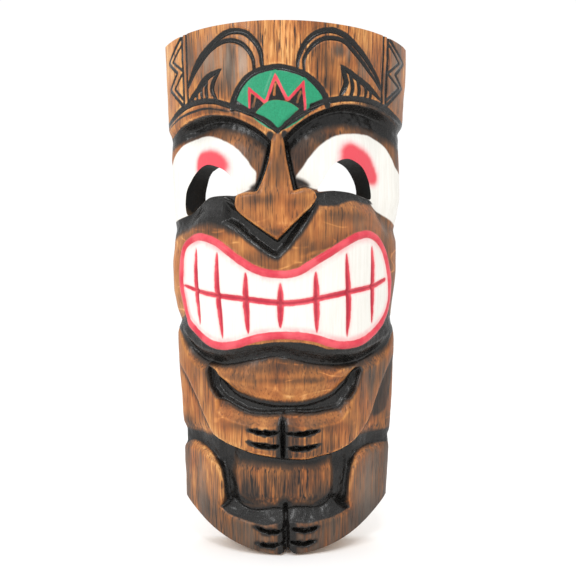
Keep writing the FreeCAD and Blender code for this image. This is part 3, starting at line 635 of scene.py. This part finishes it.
def blush_map(f):
    """The red glow over each eye hole: strongest at its edge."""
    left = ease(-23, -5, f["hole"]) * ease(-114, -97, S) * ease(-44, -78, S) * ease(354, 377, Z)
    right = ease(-25, -6, f["hole"]) * ease(44, 72, S) * ease(122, 104, S) * ease(352, 370, Z)
    return either(left, right)


def up_the_log(profile):
    """A value that changes only with height, from (z, value) pairs."""
    return np.interp(Z_AXIS, *zip(*profile))[:, None]


def scorch_and_shade_map(f):
    """How dark the wood is, 0 to 1: the torch's browning, with painted shade on the right side and a
    painted shadow along the arms.
    """
    # darker to the right: painted shade, as of light from the left, with some heavier torching
    base = up_the_log(SCORCH) + 0.18 * ease(70, 135, S)
    flat = 0.34 * ease(-2, 2, region(loop(ELBOW_FLAT)))
    arms = either(f["arm_left"], f["arm_right"])
    # a painted shadow just outside the arms' edges
    arm_edge_shadow = 0.30 * ease(-7, 0, arms) * (arms < 0.3) * (Z < 190)
    halo = 0.15 * ease(-3.6, -0.4, f["carved_lines"]) + 0.15 * ease(9, 1, f["nose"]) * (f["nose"] > 0)
    return np.clip(base + patches(DARKER) - patches(LIGHTER) + flat + arm_edge_shadow + halo, 0, 1)


def badge_green(f, under_crown):
    """Green round the crown, and on the fan below it."""
    return either(both(f["badge"], -under_crown), f["badge_fan"])


def black_lines(f, crown, under_crown):
    """The black lines of headband and badge."""
    off_badge = -either(f["badge"], f["badge_arch"])
    lines = both(f["carved_lines"], f["band"] + 2.5, off_badge + 1)
    lines = either(lines, f["band_edge"], tapered(RIDGE_LINE, 1.3), f["badge_arch"])
    core = both(under_crown, f["badge"], -f["badge_slivers"])
    fan_rim = both(f["badge_fan"] + 2.6, f["badge"])
    lines = either(lines, core, fan_rim)
    lines = both(lines, np.where(f["badge"] > 2, -f["badge_fan"], lines))
    lines = np.where(f["badge"] > -1, both(lines, -crown), lines)
    return either(lines, line(BADGE_FOOT, 2.3, corners=True))


def paint_fields(f):
    """What each point of the carved front is painted with: distances in millimetres, or shares."""
    crown = both(f["badge_crown"], f["badge"])
    under_crown = region(np.array(UNDER_CROWN, float))
    lip_band = both(f["lips"], LIP_WIDTH - f["lips"])
    teeth = f["lips"] - TEETH_EDGE
    cuts = either(f["gaps"], f["bite"])
    return {
        "line": black_lines(f, crown, under_crown),
        "green": badge_green(f, under_crown),
        "red": either(lip_band, both(cuts, teeth + 1), crown),
        "white": either(both(f["white"], -f["nose"]), teeth),
        "lips": f["lips"],
        "cuts": cuts,
        "soot_and_shadow": soot_and_shadow_map(f),
        "blush": blush_map(f),
        "scorch_and_shade": scorch_and_shade_map(f),
        "smoke": patches(SMOKED),
        "grain": np.clip(up_the_log(GRAIN) + patches(GRAINY), 0, 1.4),
    }


# --- the mesh ---

CLEARANCE = 4.0                       # how far the cutting tools stand out of the flat back
DISTANCES = ("line", "green", "red", "white", "lips", "cuts")
FAR_OUTSIDE = -9.0                    # a distance field's value off the carved front


def log_radius(z):
    return FOOT_RADIUS + (TOP_RADIUS - FOOT_RADIUS) * z / HEIGHT


def wrap(angle, radius, z):
    """A place on the log, from its angle round the centre line."""
    return np.stack([radius * np.sin(angle), SETBACK - radius * np.cos(angle), z], axis=-1)


def foot_edge(x):
    """The rounded lower end, with the nick between the feet."""
    arc = FOOT_ARC - np.sqrt(np.maximum(FOOT_ARC ** 2 - x ** 2, 1)) - FOOT_DROP
    return arc + NICK_HEIGHT * np.exp(-((x - NICK_AT) / NICK_HALF) ** 2)


def top_edge(x):
    return HEIGHT - TOP_FALL - TOP_SLANT * x


def front_sheet(depth, pitch):
    """The carved front as rows of points, its side columns on the flat back.

    The angle at which the front meets the back depends on the depth there, and the height of a
    point on where it stands across the log, so they are found by turns.
    """
    columns = int(2 * FRONT_HALF / pitch)
    rows = int(HEIGHT / pitch)
    u, v = np.meshgrid(np.linspace(-1, 1, columns + 1), np.linspace(0, 1, rows + 1))
    z = v * HEIGHT
    side = np.sign(u) + (u == 0)
    for _ in range(5):
        rim = np.full(z.shape, 1.18)
        for _ in range(10):
            radius = log_radius(z) - sample(depth, side * rim * CHART_RADIUS, z)
            rim = 0.5 * rim + 0.5 * np.arccos(np.clip(SETBACK / radius, 0, 1))
        angle = u * rim
        x = (log_radius(z) - sample(depth, angle * CHART_RADIUS, z)) * np.sin(angle)
        z = foot_edge(x) + v * (top_edge(x) - foot_edge(x))
    points = wrap(angle, log_radius(z) - sample(depth, angle * CHART_RADIUS, z), z)
    points[:, [0, -1], 1] = 0
    return points


def hollow_sheet():
    """The trough behind, with the scallops that a gouge leaves."""
    columns, rows = 120, 170
    u, v = np.meshgrid(np.linspace(-1, 1, columns + 1), np.linspace(0, 1, rows + 1))
    radius = log_radius(HOLLOW_LOW + v * (HOLLOW_HIGH - HOLLOW_LOW)) - WALL
    rim = np.arccos((SETBACK - CLEARANCE) / radius)
    angle = u * rim
    x = radius * np.sin(angle)
    bow = HOLLOW_BOW * (x / (TOP_RADIUS - WALL)) ** 2
    z = HOLLOW_LOW + bow + v * (HOLLOW_HIGH - HOLLOW_LOW - 2 * bow)
    scallop = np.abs(np.sin(angle * 9.5)) * (0.7 + 0.5 * np.sin(z / 13 + 3 * np.round(angle * 3)))
    dish = 5 * (np.clip(np.abs(v - 0.5) * 2, 0.9, 1) - 0.9) / 0.1
    return wrap(angle, radius + scallop - dish * (1 - np.abs(u) ** 3), z)


def eye_tunnel(outline, depth, side):
    """An eye hole's outline on the carved front, swept through the wall."""
    s, z = outline[:, 0], outline[:, 1]
    surface = wrap(s / CHART_RADIUS, log_radius(z) - sample(depth, s, z), z)
    slide = np.array([-side * EYE_LEAN, 1.0, 0.0])
    clear_of_front = -(FRONT + 12 + surface[:, 1].mean())
    return np.stack([surface + slide * step for step in (clear_of_front, 6, 16, 28, 60)])


def box_sheet(low, high):
    """A plain box as two rows of four corners."""
    corners = np.array([(low[0], high[1]), (low[0], low[1]), (high[0], low[1]), (high[0], high[1])])
    return np.array([[(x, y, z) for x, y in corners] for z in (low[2], high[2])])


def tube_rings(radius, height, reach, sides=24):
    """A straight hole into the back."""
    turn = np.linspace(0, 2 * np.pi, sides, endpoint=False)
    x, z = radius * np.cos(turn), height + radius * np.sin(turn)
    return np.array([np.stack([x, np.full(sides, y), z], axis=-1) for y in (CLEARANCE, reach)])


def mesh_from(name, points, faces):
    mesh = bpy.data.meshes.new(name)
    mesh.from_pydata((points * MM).tolist(), [], faces)
    mesh.validate()
    piece = bpy.data.objects.new(name, mesh)
    bpy.context.scene.collection.objects.link(piece)
    bpy.context.view_layer.update()
    return piece


def quads(rows, columns, closed):
    """Faces of a grid of points, joined up round each row if closed."""
    faces = []
    for row in range(rows - 1):
        for column in range(columns if closed else columns - 1):
            after = (column + 1) % columns
            faces.append((row * columns + column, row * columns + after,
                          (row + 1) * columns + after, (row + 1) * columns + column))
    return faces


def solid_from_sheet(name, sheet, back):
    """Close a bowed sheet with a flat back: its side columns already lie there."""
    rows, columns = sheet.shape[:2]
    points = sheet.reshape(-1, 3)
    faces = quads(rows, columns, False)
    count = len(points)
    low_back, high_back = sheet[0, 1:-1].copy(), sheet[-1, 1:-1].copy()
    low_back[:, 1] = back
    high_back[:, 1] = back
    points = np.vstack([points, low_back, high_back])
    low_row = [0] + list(range(count, count + columns - 2)) + [columns - 1]
    top = (rows - 1) * columns
    high_row = [top] + list(range(count + columns - 2, len(points))) + [top + columns - 1]
    for row, front_start, turn in ((low_row, 0, False), (high_row, top, True)):
        for column in range(columns - 1):
            face = [front_start + column, row[column], row[column + 1], front_start + column + 1]
            face = list(dict.fromkeys(face))
            faces.append(face[::-1] if turn else face)
    left = [row * columns for row in range(1, rows - 1)]
    right = [row * columns + columns - 1 for row in range(1, rows - 1)]
    faces.append(low_row[::-1] + left + high_row + right[::-1])
    return mesh_from(name, points, faces)


def solid_from_rings(name, rings):
    """Close a stack of rings with a cap at each end."""
    rows, columns = rings.shape[:2]
    faces = quads(rows, columns, True)
    faces.append(list(range(columns))[::-1])
    faces.append([(rows - 1) * columns + column for column in range(columns)])
    return mesh_from(name, rings.reshape(-1, 3), faces)


def read(items, name, size=1, kind=float):
    """One property of every item in a part of a mesh, as an array."""
    values = np.zeros(len(items) * size, kind)
    items.foreach_get(name, values)
    return values.reshape(-1, size) if size > 1 else values


def outward(piece):
    """Turn the faces outward: the volume they enclose has to be positive."""
    faces = piece.data.polygons
    heights = (read(faces, "center", 3) * read(faces, "normal", 3)).sum(axis=1)
    if (heights * read(faces, "area")).sum() < 0:
        piece.data.flip_normals()
    return piece


def carve_out(piece, tools):
    """Cut the tools from the piece, and throw them away."""
    for tool in tools:
        cut = piece.modifiers.new(tool.name, "BOOLEAN")
        cut.operation = "DIFFERENCE"
        cut.solver = "MANIFOLD"
        cut.object = outward(tool)
    evaluated = piece.evaluated_get(bpy.context.evaluated_depsgraph_get())
    mesh = bpy.data.meshes.new_from_object(evaluated)
    piece.modifiers.clear()
    piece.data = mesh
    for tool in tools:
        bpy.data.objects.remove(tool)
    return piece


def paint_corners(piece, depth, paint):
    """Write the chart's paint onto the face corners of the carved front, and mark bare wood."""
    mesh = piece.data
    x, y, z = read(mesh.vertices, "co", 3).T / MM
    s = np.arctan2(x, SETBACK - y) * CHART_RADIUS
    gone = log_radius(z) - np.hypot(x, y - SETBACK)
    starts = read(mesh.polygons, "loop_start", kind=int)
    corners = read(mesh.loops, "vertex_index", kind=int)
    normals = read(mesh.polygons, "normal", 3)
    owner = np.searchsorted(starts, np.arange(len(corners)), side="right") - 1
    carved = np.abs(gone - sample(depth, s, z)) < 0.6
    front = np.minimum.reduceat(carved[corners].astype(int), starts).astype(bool)
    sawn_top = (normals[:, 2] > 0.9) & (np.maximum.reduceat(z[corners], starts) > top_edge(x).min())
    front &= (normals[:, 1] < 0.9) & ~sawn_top
    shows = front[owner]
    for name, field in paint.items():
        plain = FAR_OUTSIDE if name in DISTANCES else 0.0
        write_corners(mesh, name, np.where(shows, sample(field, s, z)[corners], plain))
    write_corners(mesh, "bare", np.where(shows, 0.0, 1.0))


def write_corners(mesh, name, values):
    attribute = mesh.attributes.new(name, "FLOAT", "CORNER")
    attribute.data.foreach_set("value", values.astype(np.float32))


def make_carved_figure():
    """The figure: carved front, painted, hollowed and let in for its hanger."""
    fields = shape_fields()
    depth = carving_depth(fields)
    paint = paint_fields(fields)
    paint["rim"] = np.clip((blur(depth, 1.1) - depth) / 0.36, 0, 1)      # proud edges lighter: worn wood, and a painted highlight
    paint["recess_shade"] = np.clip((depth - blur(depth, 6)) / 2.6, 0, 1)      # painted shade: hollows darkened
    piece = outward(solid_from_sheet("carved_figure_surface", front_sheet(depth, MESH_PITCH), 0.0))
    tools = [
        solid_from_sheet("hollow_tool", hollow_sheet(), CLEARANCE),
        solid_from_rings("left_eye_tool", eye_tunnel(loop(HOLE_LEFT), depth, -1)),
        solid_from_rings("right_eye_tool", eye_tunnel(loop(HOLE_RIGHT), depth, 1)),
        solid_from_rings("rebate_tool", box_sheet((-REBATE_HALF, -REBATE_DEPTH, REBATE_LOW),
                                                  (REBATE_HALF, CLEARANCE, REBATE_HIGH))),
    ]
    for number, height in enumerate(SCREW_HEIGHTS):
        hole = tube_rings(PILOT_RADIUS, height, PILOT_END)
        tools.append(solid_from_rings("pilot_tool_%d" % number, hole))
    carve_out(piece, tools)
    paint_corners(piece, depth, paint)
    piece.data.set_sharp_from_angle(angle=math.radians(48))
    return piece


# --- materials ---

TORCHED = [(0.0, "DBA566"), (0.20, "BF8145"), (0.40, "9B6132"), (0.58, "704829"), (0.78, "483324"),
           (1.0, "1E1815")]
UNSEASONED = [(0.25, "7C5C3E"), (0.45, "A07E58"), (0.60, "BA9870"), (0.75, "CEB18B")]
RING_WIDTH = 0.0024                   # metres between growth rings
EYE_TUNNELS = ((-0.066, 0.355), (0.060, 0.362))
TUNNEL_DEPTH = 0.030


def colour(code):
    """A linear colour from a hex code."""
    parts = [int(code[i:i + 2], 16) / 255 for i in (0, 2, 4)]
    return tuple(p / 12.92 if p < 0.04045 else ((p + 0.055) / 1.055) ** 2.4 for p in parts) + (1.0,)


class Nodes:
    """Short calls for building the node tree of a material or a world."""

    def __init__(self, owner, shader):
        owner.use_nodes = True
        self.owner = owner
        self.tree = owner.node_tree
        self.shader = self.tree.nodes[shader]

    def feed(self, socket, value):
        """Link an output to a socket, or set its constant: a number, or a colour's hex code."""
        if isinstance(value, bpy.types.NodeSocket):
            self.tree.links.new(value, socket)
        else:
            socket.default_value = colour(value) if isinstance(value, str) else value

    def add(self, kind, inputs=(), **settings):
        """A new node with its settings and inputs; gives its outputs."""
        node = self.tree.nodes.new("ShaderNode" + kind)
        for name, value in settings.items():
            setattr(node, name, value)
        for socket, value in dict(inputs).items():
            self.feed(node.inputs[socket], value)
        return node.outputs

    def shade(self, **values):
        """Feed the shader's own sockets, with _ for a space in their names."""
        for name, value in values.items():
            self.feed(self.shader.inputs[name.replace("_", " ")], value)

    def math(self, operation, *values, clamp=False):
        return self.add("Math", enumerate(values), operation=operation, use_clamp=clamp)[0]

    def times(self, *values):
        return reduce(lambda a, b: self.math("MULTIPLY", a, b), values)

    def plus(self, *values):
        return reduce(lambda a, b: self.math("ADD", a, b), values)

    def layered(self, base, *layers, clamp=False):
        """The base with each (field, gain) added."""
        for field, gain in layers:
            base = self.math("MULTIPLY_ADD", field, gain, base, clamp=clamp)
        return base

    def swing(self, noise, gain):
        """A noise turned into a swing about zero."""
        return self.math("MULTIPLY_ADD", noise, gain, -0.5 * gain)

    def place(self):
        return self.add("TexCoord")["Object"]

    def parts(self, vector):
        return self.add("SeparateXYZ", {0: vector})

    def stretch(self, vector, scale, shift=(0, 0, 0)):
        return self.add("Mapping", {"Vector": vector, "Scale": scale, "Location": shift})[0]

    def length(self, vector):
        return self.add("VectorMath", {0: vector}, operation="LENGTH")["Value"]

    def noise(self, vector, scale, detail=3.0, rough=0.55):
        inputs = {"Vector": vector, "Scale": scale, "Detail": detail, "Roughness": rough}
        return self.add("TexNoise", inputs)["Fac"]

    def mark(self, name):
        """A field that the mesh carries on its face corners."""
        return self.add("Attribute", attribute_name=name)["Fac"]

    def ramp(self, value, low, high, to_low=0.0, to_high=1.0):
        limits = enumerate((value, low, high, to_low, to_high))
        return self.add("MapRange", limits, interpolation_type="SMOOTHSTEP")[0]

    def mix(self, share, a, b, blend="MIX"):
        return self.add("Mix", {0: share, 6: a, 7: b}, data_type="RGBA", blend_type=blend)[2]

    def shades(self, value, stops):
        """A run of colours, from (place, hex code) stops."""
        outputs = self.add("ValToRGB", {0: value})
        elements = outputs[0].node.color_ramp.elements
        for place, code in stops[1:-1]:
            elements.new(place)
        for element, (place, code) in zip(elements, stops):
            element.position = place
            element.color = colour(code)
        return outputs[0]

    def bump(self, height, strength, distance):
        inputs = {"Strength": strength, "Distance": distance, "Height": height}
        self.shade(Normal=self.add("Bump", inputs)[0])


def new_material(name):
    return Nodes(bpy.data.materials.new(name), "Principled BSDF")


class Grain:
    """Noises that run with the log: growth rings about its centre line, fibres, streaks and pores."""

    def __init__(self, n, place):
        x, y, z = n.parts(place)
        swirl = n.noise(n.stretch(place, (1, 1, 0.22)), 17, 2)
        behind = n.math("SUBTRACT", y, SETBACK * MM)
        centre_away = n.math("SQRT", n.plus(n.times(x, x), n.times(behind, behind)))
        bent = n.layered(centre_away, (swirl, 0.014))
        self.rings = n.math("SINE", n.times(bent, 2 * math.pi / RING_WIDTH))
        self.fibres = n.noise(n.stretch(place, (1, 1, 0.03)), 520, 3, 0.6)
        self.streaks = n.noise(n.stretch(place, (1, 1, 0.07)), 115, 3, 0.6)
        self.pores = n.ramp(n.noise(n.stretch(place, (1, 1, 0.04)), 640, 2, 0.5), 0.57, 0.67)


def eye_tunnel_black(n, place):
    """Black in the eye tunnels, fading onto the hollow around them."""
    ragged = n.swing(n.noise(place, 90), 0.5)
    share = 0.0
    for x, z in EYE_TUNNELS:
        away = n.length(n.stretch(place, (22, 14, 30), (-22 * x, 14 * TUNNEL_DEPTH, -30 * z)))
        share = n.math("MAXIMUM", share, n.ramp(n.plus(away, ragged), 1.35, 0.85))
    behind = n.ramp(n.parts(place)[1], -0.0004, -0.003)
    return n.times(share, behind)


def torched_wood(n, place, grain):
    """Torched and smoked wood, lighter on a few contour lines and on its rims (worn wood, and a painted
    highlight), with painted shade in its hollows.
    """
    # rim: proud edges drawn lighter, partly wear and partly a painted highlight
    rim = n.times(n.mark("rim"), n.ramp(n.noise(place, 90), 0.30, 0.55, 0.35, 1.0))
    showing = n.mark("grain")
    contour = n.math("ABSOLUTE", n.swing(n.noise(n.stretch(place, (0.35, 0.5, 1)), 60, 0.6), 1.0))
    crest = n.times(n.ramp(contour, 0.035, 0.0), n.ramp(showing, 0.5, 0.35),
                    n.ramp(n.noise(place, 45, 2), 0.45, 0.60))
    broad = n.stretch(place, (1, 1, 0.6))
    stripes = n.plus(n.swing(grain.streaks, 0.95), n.swing(grain.fibres, 1.25))
    # the recess mark darkens the hollows: painted shade
    tone = n.layered(n.mark("scorch_and_shade"), (stripes, showing), (n.swing(n.noise(broad, 38), 0.60), 1.0),
                     (crest, -0.26), (n.mark("recess_shade"), 0.34), (n.times(grain.pores, showing), 0.50),
                     (rim, -0.30))
    ruddy = n.ramp(n.noise(broad, 44), 0.42, 0.65, 0.0, 0.30)
    wood = n.mix(ruddy, n.shades(tone, TORCHED), "F0B088", "MULTIPLY")
    smoke = n.times(n.mark("smoke"), n.ramp(grain.streaks, 0.38, 0.6, 0.15, 0.75))
    return n.mix(smoke, wood, n.mix(grain.fibres, "66544A", "C0A890"))


def bare_wood(n, place, grain):
    """Unseasoned wood behind and inside, with black round the eye tunnels."""
    tone = n.plus(n.times(grain.streaks, 0.5), n.times(grain.fibres, 0.5))
    raw = n.shades(n.layered(tone, (n.ramp(grain.rings, 0.2, 0.95), -0.14)), UNSEASONED)
    return n.mix(eye_tunnel_black(n, place), raw, "0F0E0D")


def pink_on_white(n, place, finish, white_share, chalk):
    """Chalk white, blushing over the eye holes and towards the lips and the cuts between the teeth."""
    finish = n.mix(white_share, finish, chalk)
    blush = n.plus(n.mark("blush"), n.swing(n.noise(place, 130), 0.2))
    blush = n.times(n.ramp(blush, 0.02, 0.75), white_share)
    finish = n.mix(blush, finish, n.mix(n.ramp(blush, 0.3, 0.95), "F08A92", "DC4A56"))
    smear = n.ramp(n.noise(place, 60), 0.36, 0.64, 0.35, 1.0)
    lips = n.mark("lips")
    glow = n.times(n.ramp(lips, 15.0, 6.5, 0.0, 0.85), n.ramp(lips, 0.0, 1.0), smear, white_share)
    edge = n.times(n.ramp(n.mark("cuts"), -3.0, 0.0, 0.0, 0.35), white_share)
    return n.mix(n.math("MAXIMUM", glow, edge), finish, "F0A2A4")


def make_carved_wood():
    """Torched, sanded and varnished softwood with black, white, coral and green paint on it."""
    n = new_material("carved_wood")
    place = n.place()
    grain = Grain(n, place)
    bare = n.mark("bare")
    wood = n.mix(bare, torched_wood(n, place, grain), bare_wood(n, place, grain))
    speck = n.noise(place, 900, 2, 0.7)
    wobble = n.swing(n.noise(place, 170, 2), 1.3)

    def painted(name, soft=0.4):
        return n.ramp(n.plus(n.mark(name), wobble), -soft, soft)

    # the soot mark includes the black painted shadow under the hands and beside the arms
    soot_and_shadow = n.plus(n.mark("soot_and_shadow"), n.swing(grain.fibres, 0.5), n.swing(grain.streaks, 0.4))
    burnt = n.times(n.ramp(soot_and_shadow, 0.05, 0.55), n.ramp(n.mark("soot_and_shadow"), 0.0, 0.12), 0.92)
    charred = n.ramp(soot_and_shadow, 0.42, 0.85)
    ink = n.mix(n.ramp(speck, 0.35, 0.7), "0A0A0A", "211F1D")
    finish = n.mix(burnt, wood, n.mix(grain.fibres, "241A14", "4B3626"))
    finish = n.mix(charred, finish, ink)
    white_share = n.times(painted("white", 1.0), n.ramp(n.mark("soot_and_shadow"), 0.75, 0.15))
    chalk = n.mix(n.ramp(grain.fibres, 0.3, 0.7), "E1DED6", "E8E6E0")
    finish = pink_on_white(n, place, finish, white_share, chalk)
    deep = n.times(n.ramp(n.plus(n.mark("cuts"), wobble), 0.9, 2.6), 0.85)
    coral = n.mix(n.ramp(n.noise(place, 48), 0.35, 0.68), "C92F42", "E05560")
    coral = n.mix(deep, coral, "A5263A")
    jade = n.mix(n.ramp(speck, 0.3, 0.7), "198059", "23946B")
    lines = painted("line", 0.5)
    for share, paint in ((painted("red", 0.6), coral), (painted("green"), jade), (lines, ink)):
        finish = n.mix(share, finish, paint)

    black = n.math("MAXIMUM", charred, lines)
    gloss = n.layered(0.28, (grain.fibres, 0.16), (speck, 0.20), (black, -0.20))
    gloss = n.layered(gloss, (bare, 0.35), clamp=True)
    n.shade(Base_Color=finish, Roughness=gloss, Specular_IOR_Level=0.28,
            Coat_Weight=0.13, Coat_Roughness=0.16)
    height = n.layered(n.times(grain.pores, -0.35), (grain.fibres, 0.6), (grain.rings, 0.06),
                       (n.noise(place, 260, 3, 0.6), 0.45))
    n.bump(n.times(height, n.ramp(white_share, 0.0, 1.0, 1.0, 0.45)), 0.6, 0.0008)
    return n.owner


def make_steel(name, light, dark, rough):
    """Plated steel with fine drawing marks and dulled patches."""
    n = new_material(name)
    place = n.place()
    worn = n.ramp(n.noise(place, 420, 4), 0.35, 0.7)
    n.shade(Base_Color=n.mix(worn, light, dark), Metallic=1.0, Roughness=n.layered(rough, (worn, 0.18)))
    n.bump(n.noise(n.stretch(place, (1, 1, 0.12)), 2600), 0.25, 0.00006)
    return n.owner


def make_stage_material(name, code, rough):
    n = new_material(name)
    n.shade(Base_Color=n.mix(n.noise(n.place(), 1.5, 2), code, "FFFFFF"), Roughness=rough)
    return n.owner


# --- floor, light and camera ---

FOCAL = 47.8
CAMERA_AWAY = 0.715
CAMERA_HEIGHT = 0.2564
CAMERA_SHIFT = 0.0042
FLOOR_RADIUS, FLOOR_SIDES = 9.0, 96
FLOOR_DROP = 0.003
SKY_FRONT, SKY_BACK, SKY_TOP = 1.0, 1.03, 0.30
LAMPS = {                             # name: (place, aim, size, watts)
    "key": ((-0.95, -1.1, 0.95), (0, -0.05, 0.28), 0.5, 5.5),
    "top": ((0.1, -0.9, 1.25), (0, -0.05, 0.38), 0.25, 3.2),
}


def make_floor():
    """A plain pale floor, just clear of the figure, as under a wall-hung one."""
    mesh = bpy.data.meshes.new("floor")
    turn = [2 * math.pi * i / FLOOR_SIDES for i in range(FLOOR_SIDES)]
    rim = [(FLOOR_RADIUS * math.cos(a), FLOOR_RADIUS * math.sin(a), 0) for a in turn]
    mesh.from_pydata(rim, [], [list(range(len(rim)))])
    floor = bpy.data.objects.new("floor", mesh)
    floor.location.z = -FLOOR_DROP
    bpy.context.scene.collection.objects.link(floor)
    mesh.materials.append(make_stage_material("floor_paint", "F6F5F3", 0.9))


def make_area_light(name, place, target, size, power):
    light = bpy.data.lights.new(name, "AREA")
    light.shape = "DISK"
    light.size = size
    light.energy = power
    lamp = bpy.data.objects.new(name, light)
    lamp.location = place
    lamp.rotation_euler = (Vector(target) - Vector(place)).to_track_quat("-Z", "Y").to_euler()
    bpy.context.scene.collection.objects.link(lamp)


def make_world():
    """A plain white sky, a little brighter behind the figure and overhead."""
    n = Nodes(bpy.data.worlds.new("studio"), "Background")
    x, y, z = n.parts(n.add("TexCoord")["Generated"])
    strength = n.plus(n.ramp(y, -0.5, 0.3, SKY_FRONT, SKY_BACK), n.ramp(z, 0.55, 0.9, 0.0, SKY_TOP))
    n.shade(Color="FFFFFF", Strength=strength)
    bpy.context.scene.world = n.owner


def make_camera():
    lens = bpy.data.cameras.new("camera")
    lens.lens = FOCAL
    lens.sensor_width = 36.0
    lens.shift_x = CAMERA_SHIFT
    camera = bpy.data.objects.new("camera", lens)
    camera.location = (0, -FRONT * MM - CAMERA_AWAY, CAMERA_HEIGHT)
    camera.rotation_euler = (math.radians(90), 0, 0)
    bpy.context.scene.collection.objects.link(camera)
    bpy.context.scene.camera = camera


def make_stage():
    make_floor()
    make_world()
    for name, lamp in LAMPS.items():
        make_area_light(name, *lamp)
    make_camera()
    bpy.context.scene.view_settings.view_transform = "Standard"


# --- the assembly ---

def dress(piece, material):
    piece.data.materials.clear()
    piece.data.materials.append(material)


figure = make_carved_figure()
dress(figure, make_carved_wood())
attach(figure, "figure")
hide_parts("carved_figure")

STEELS = {
    "hanger_strap": ("B9BBBE", "8E9092", 0.26),
    "hanger_ring": ("C9CBCD", "A3A5A7", 0.16),
    "hanger_screws": ("C8B98A", "93845C", 0.24),
}
for node, look in STEELS.items():
    dress(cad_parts[node], make_steel(node + "_steel", *look))

make_stage()
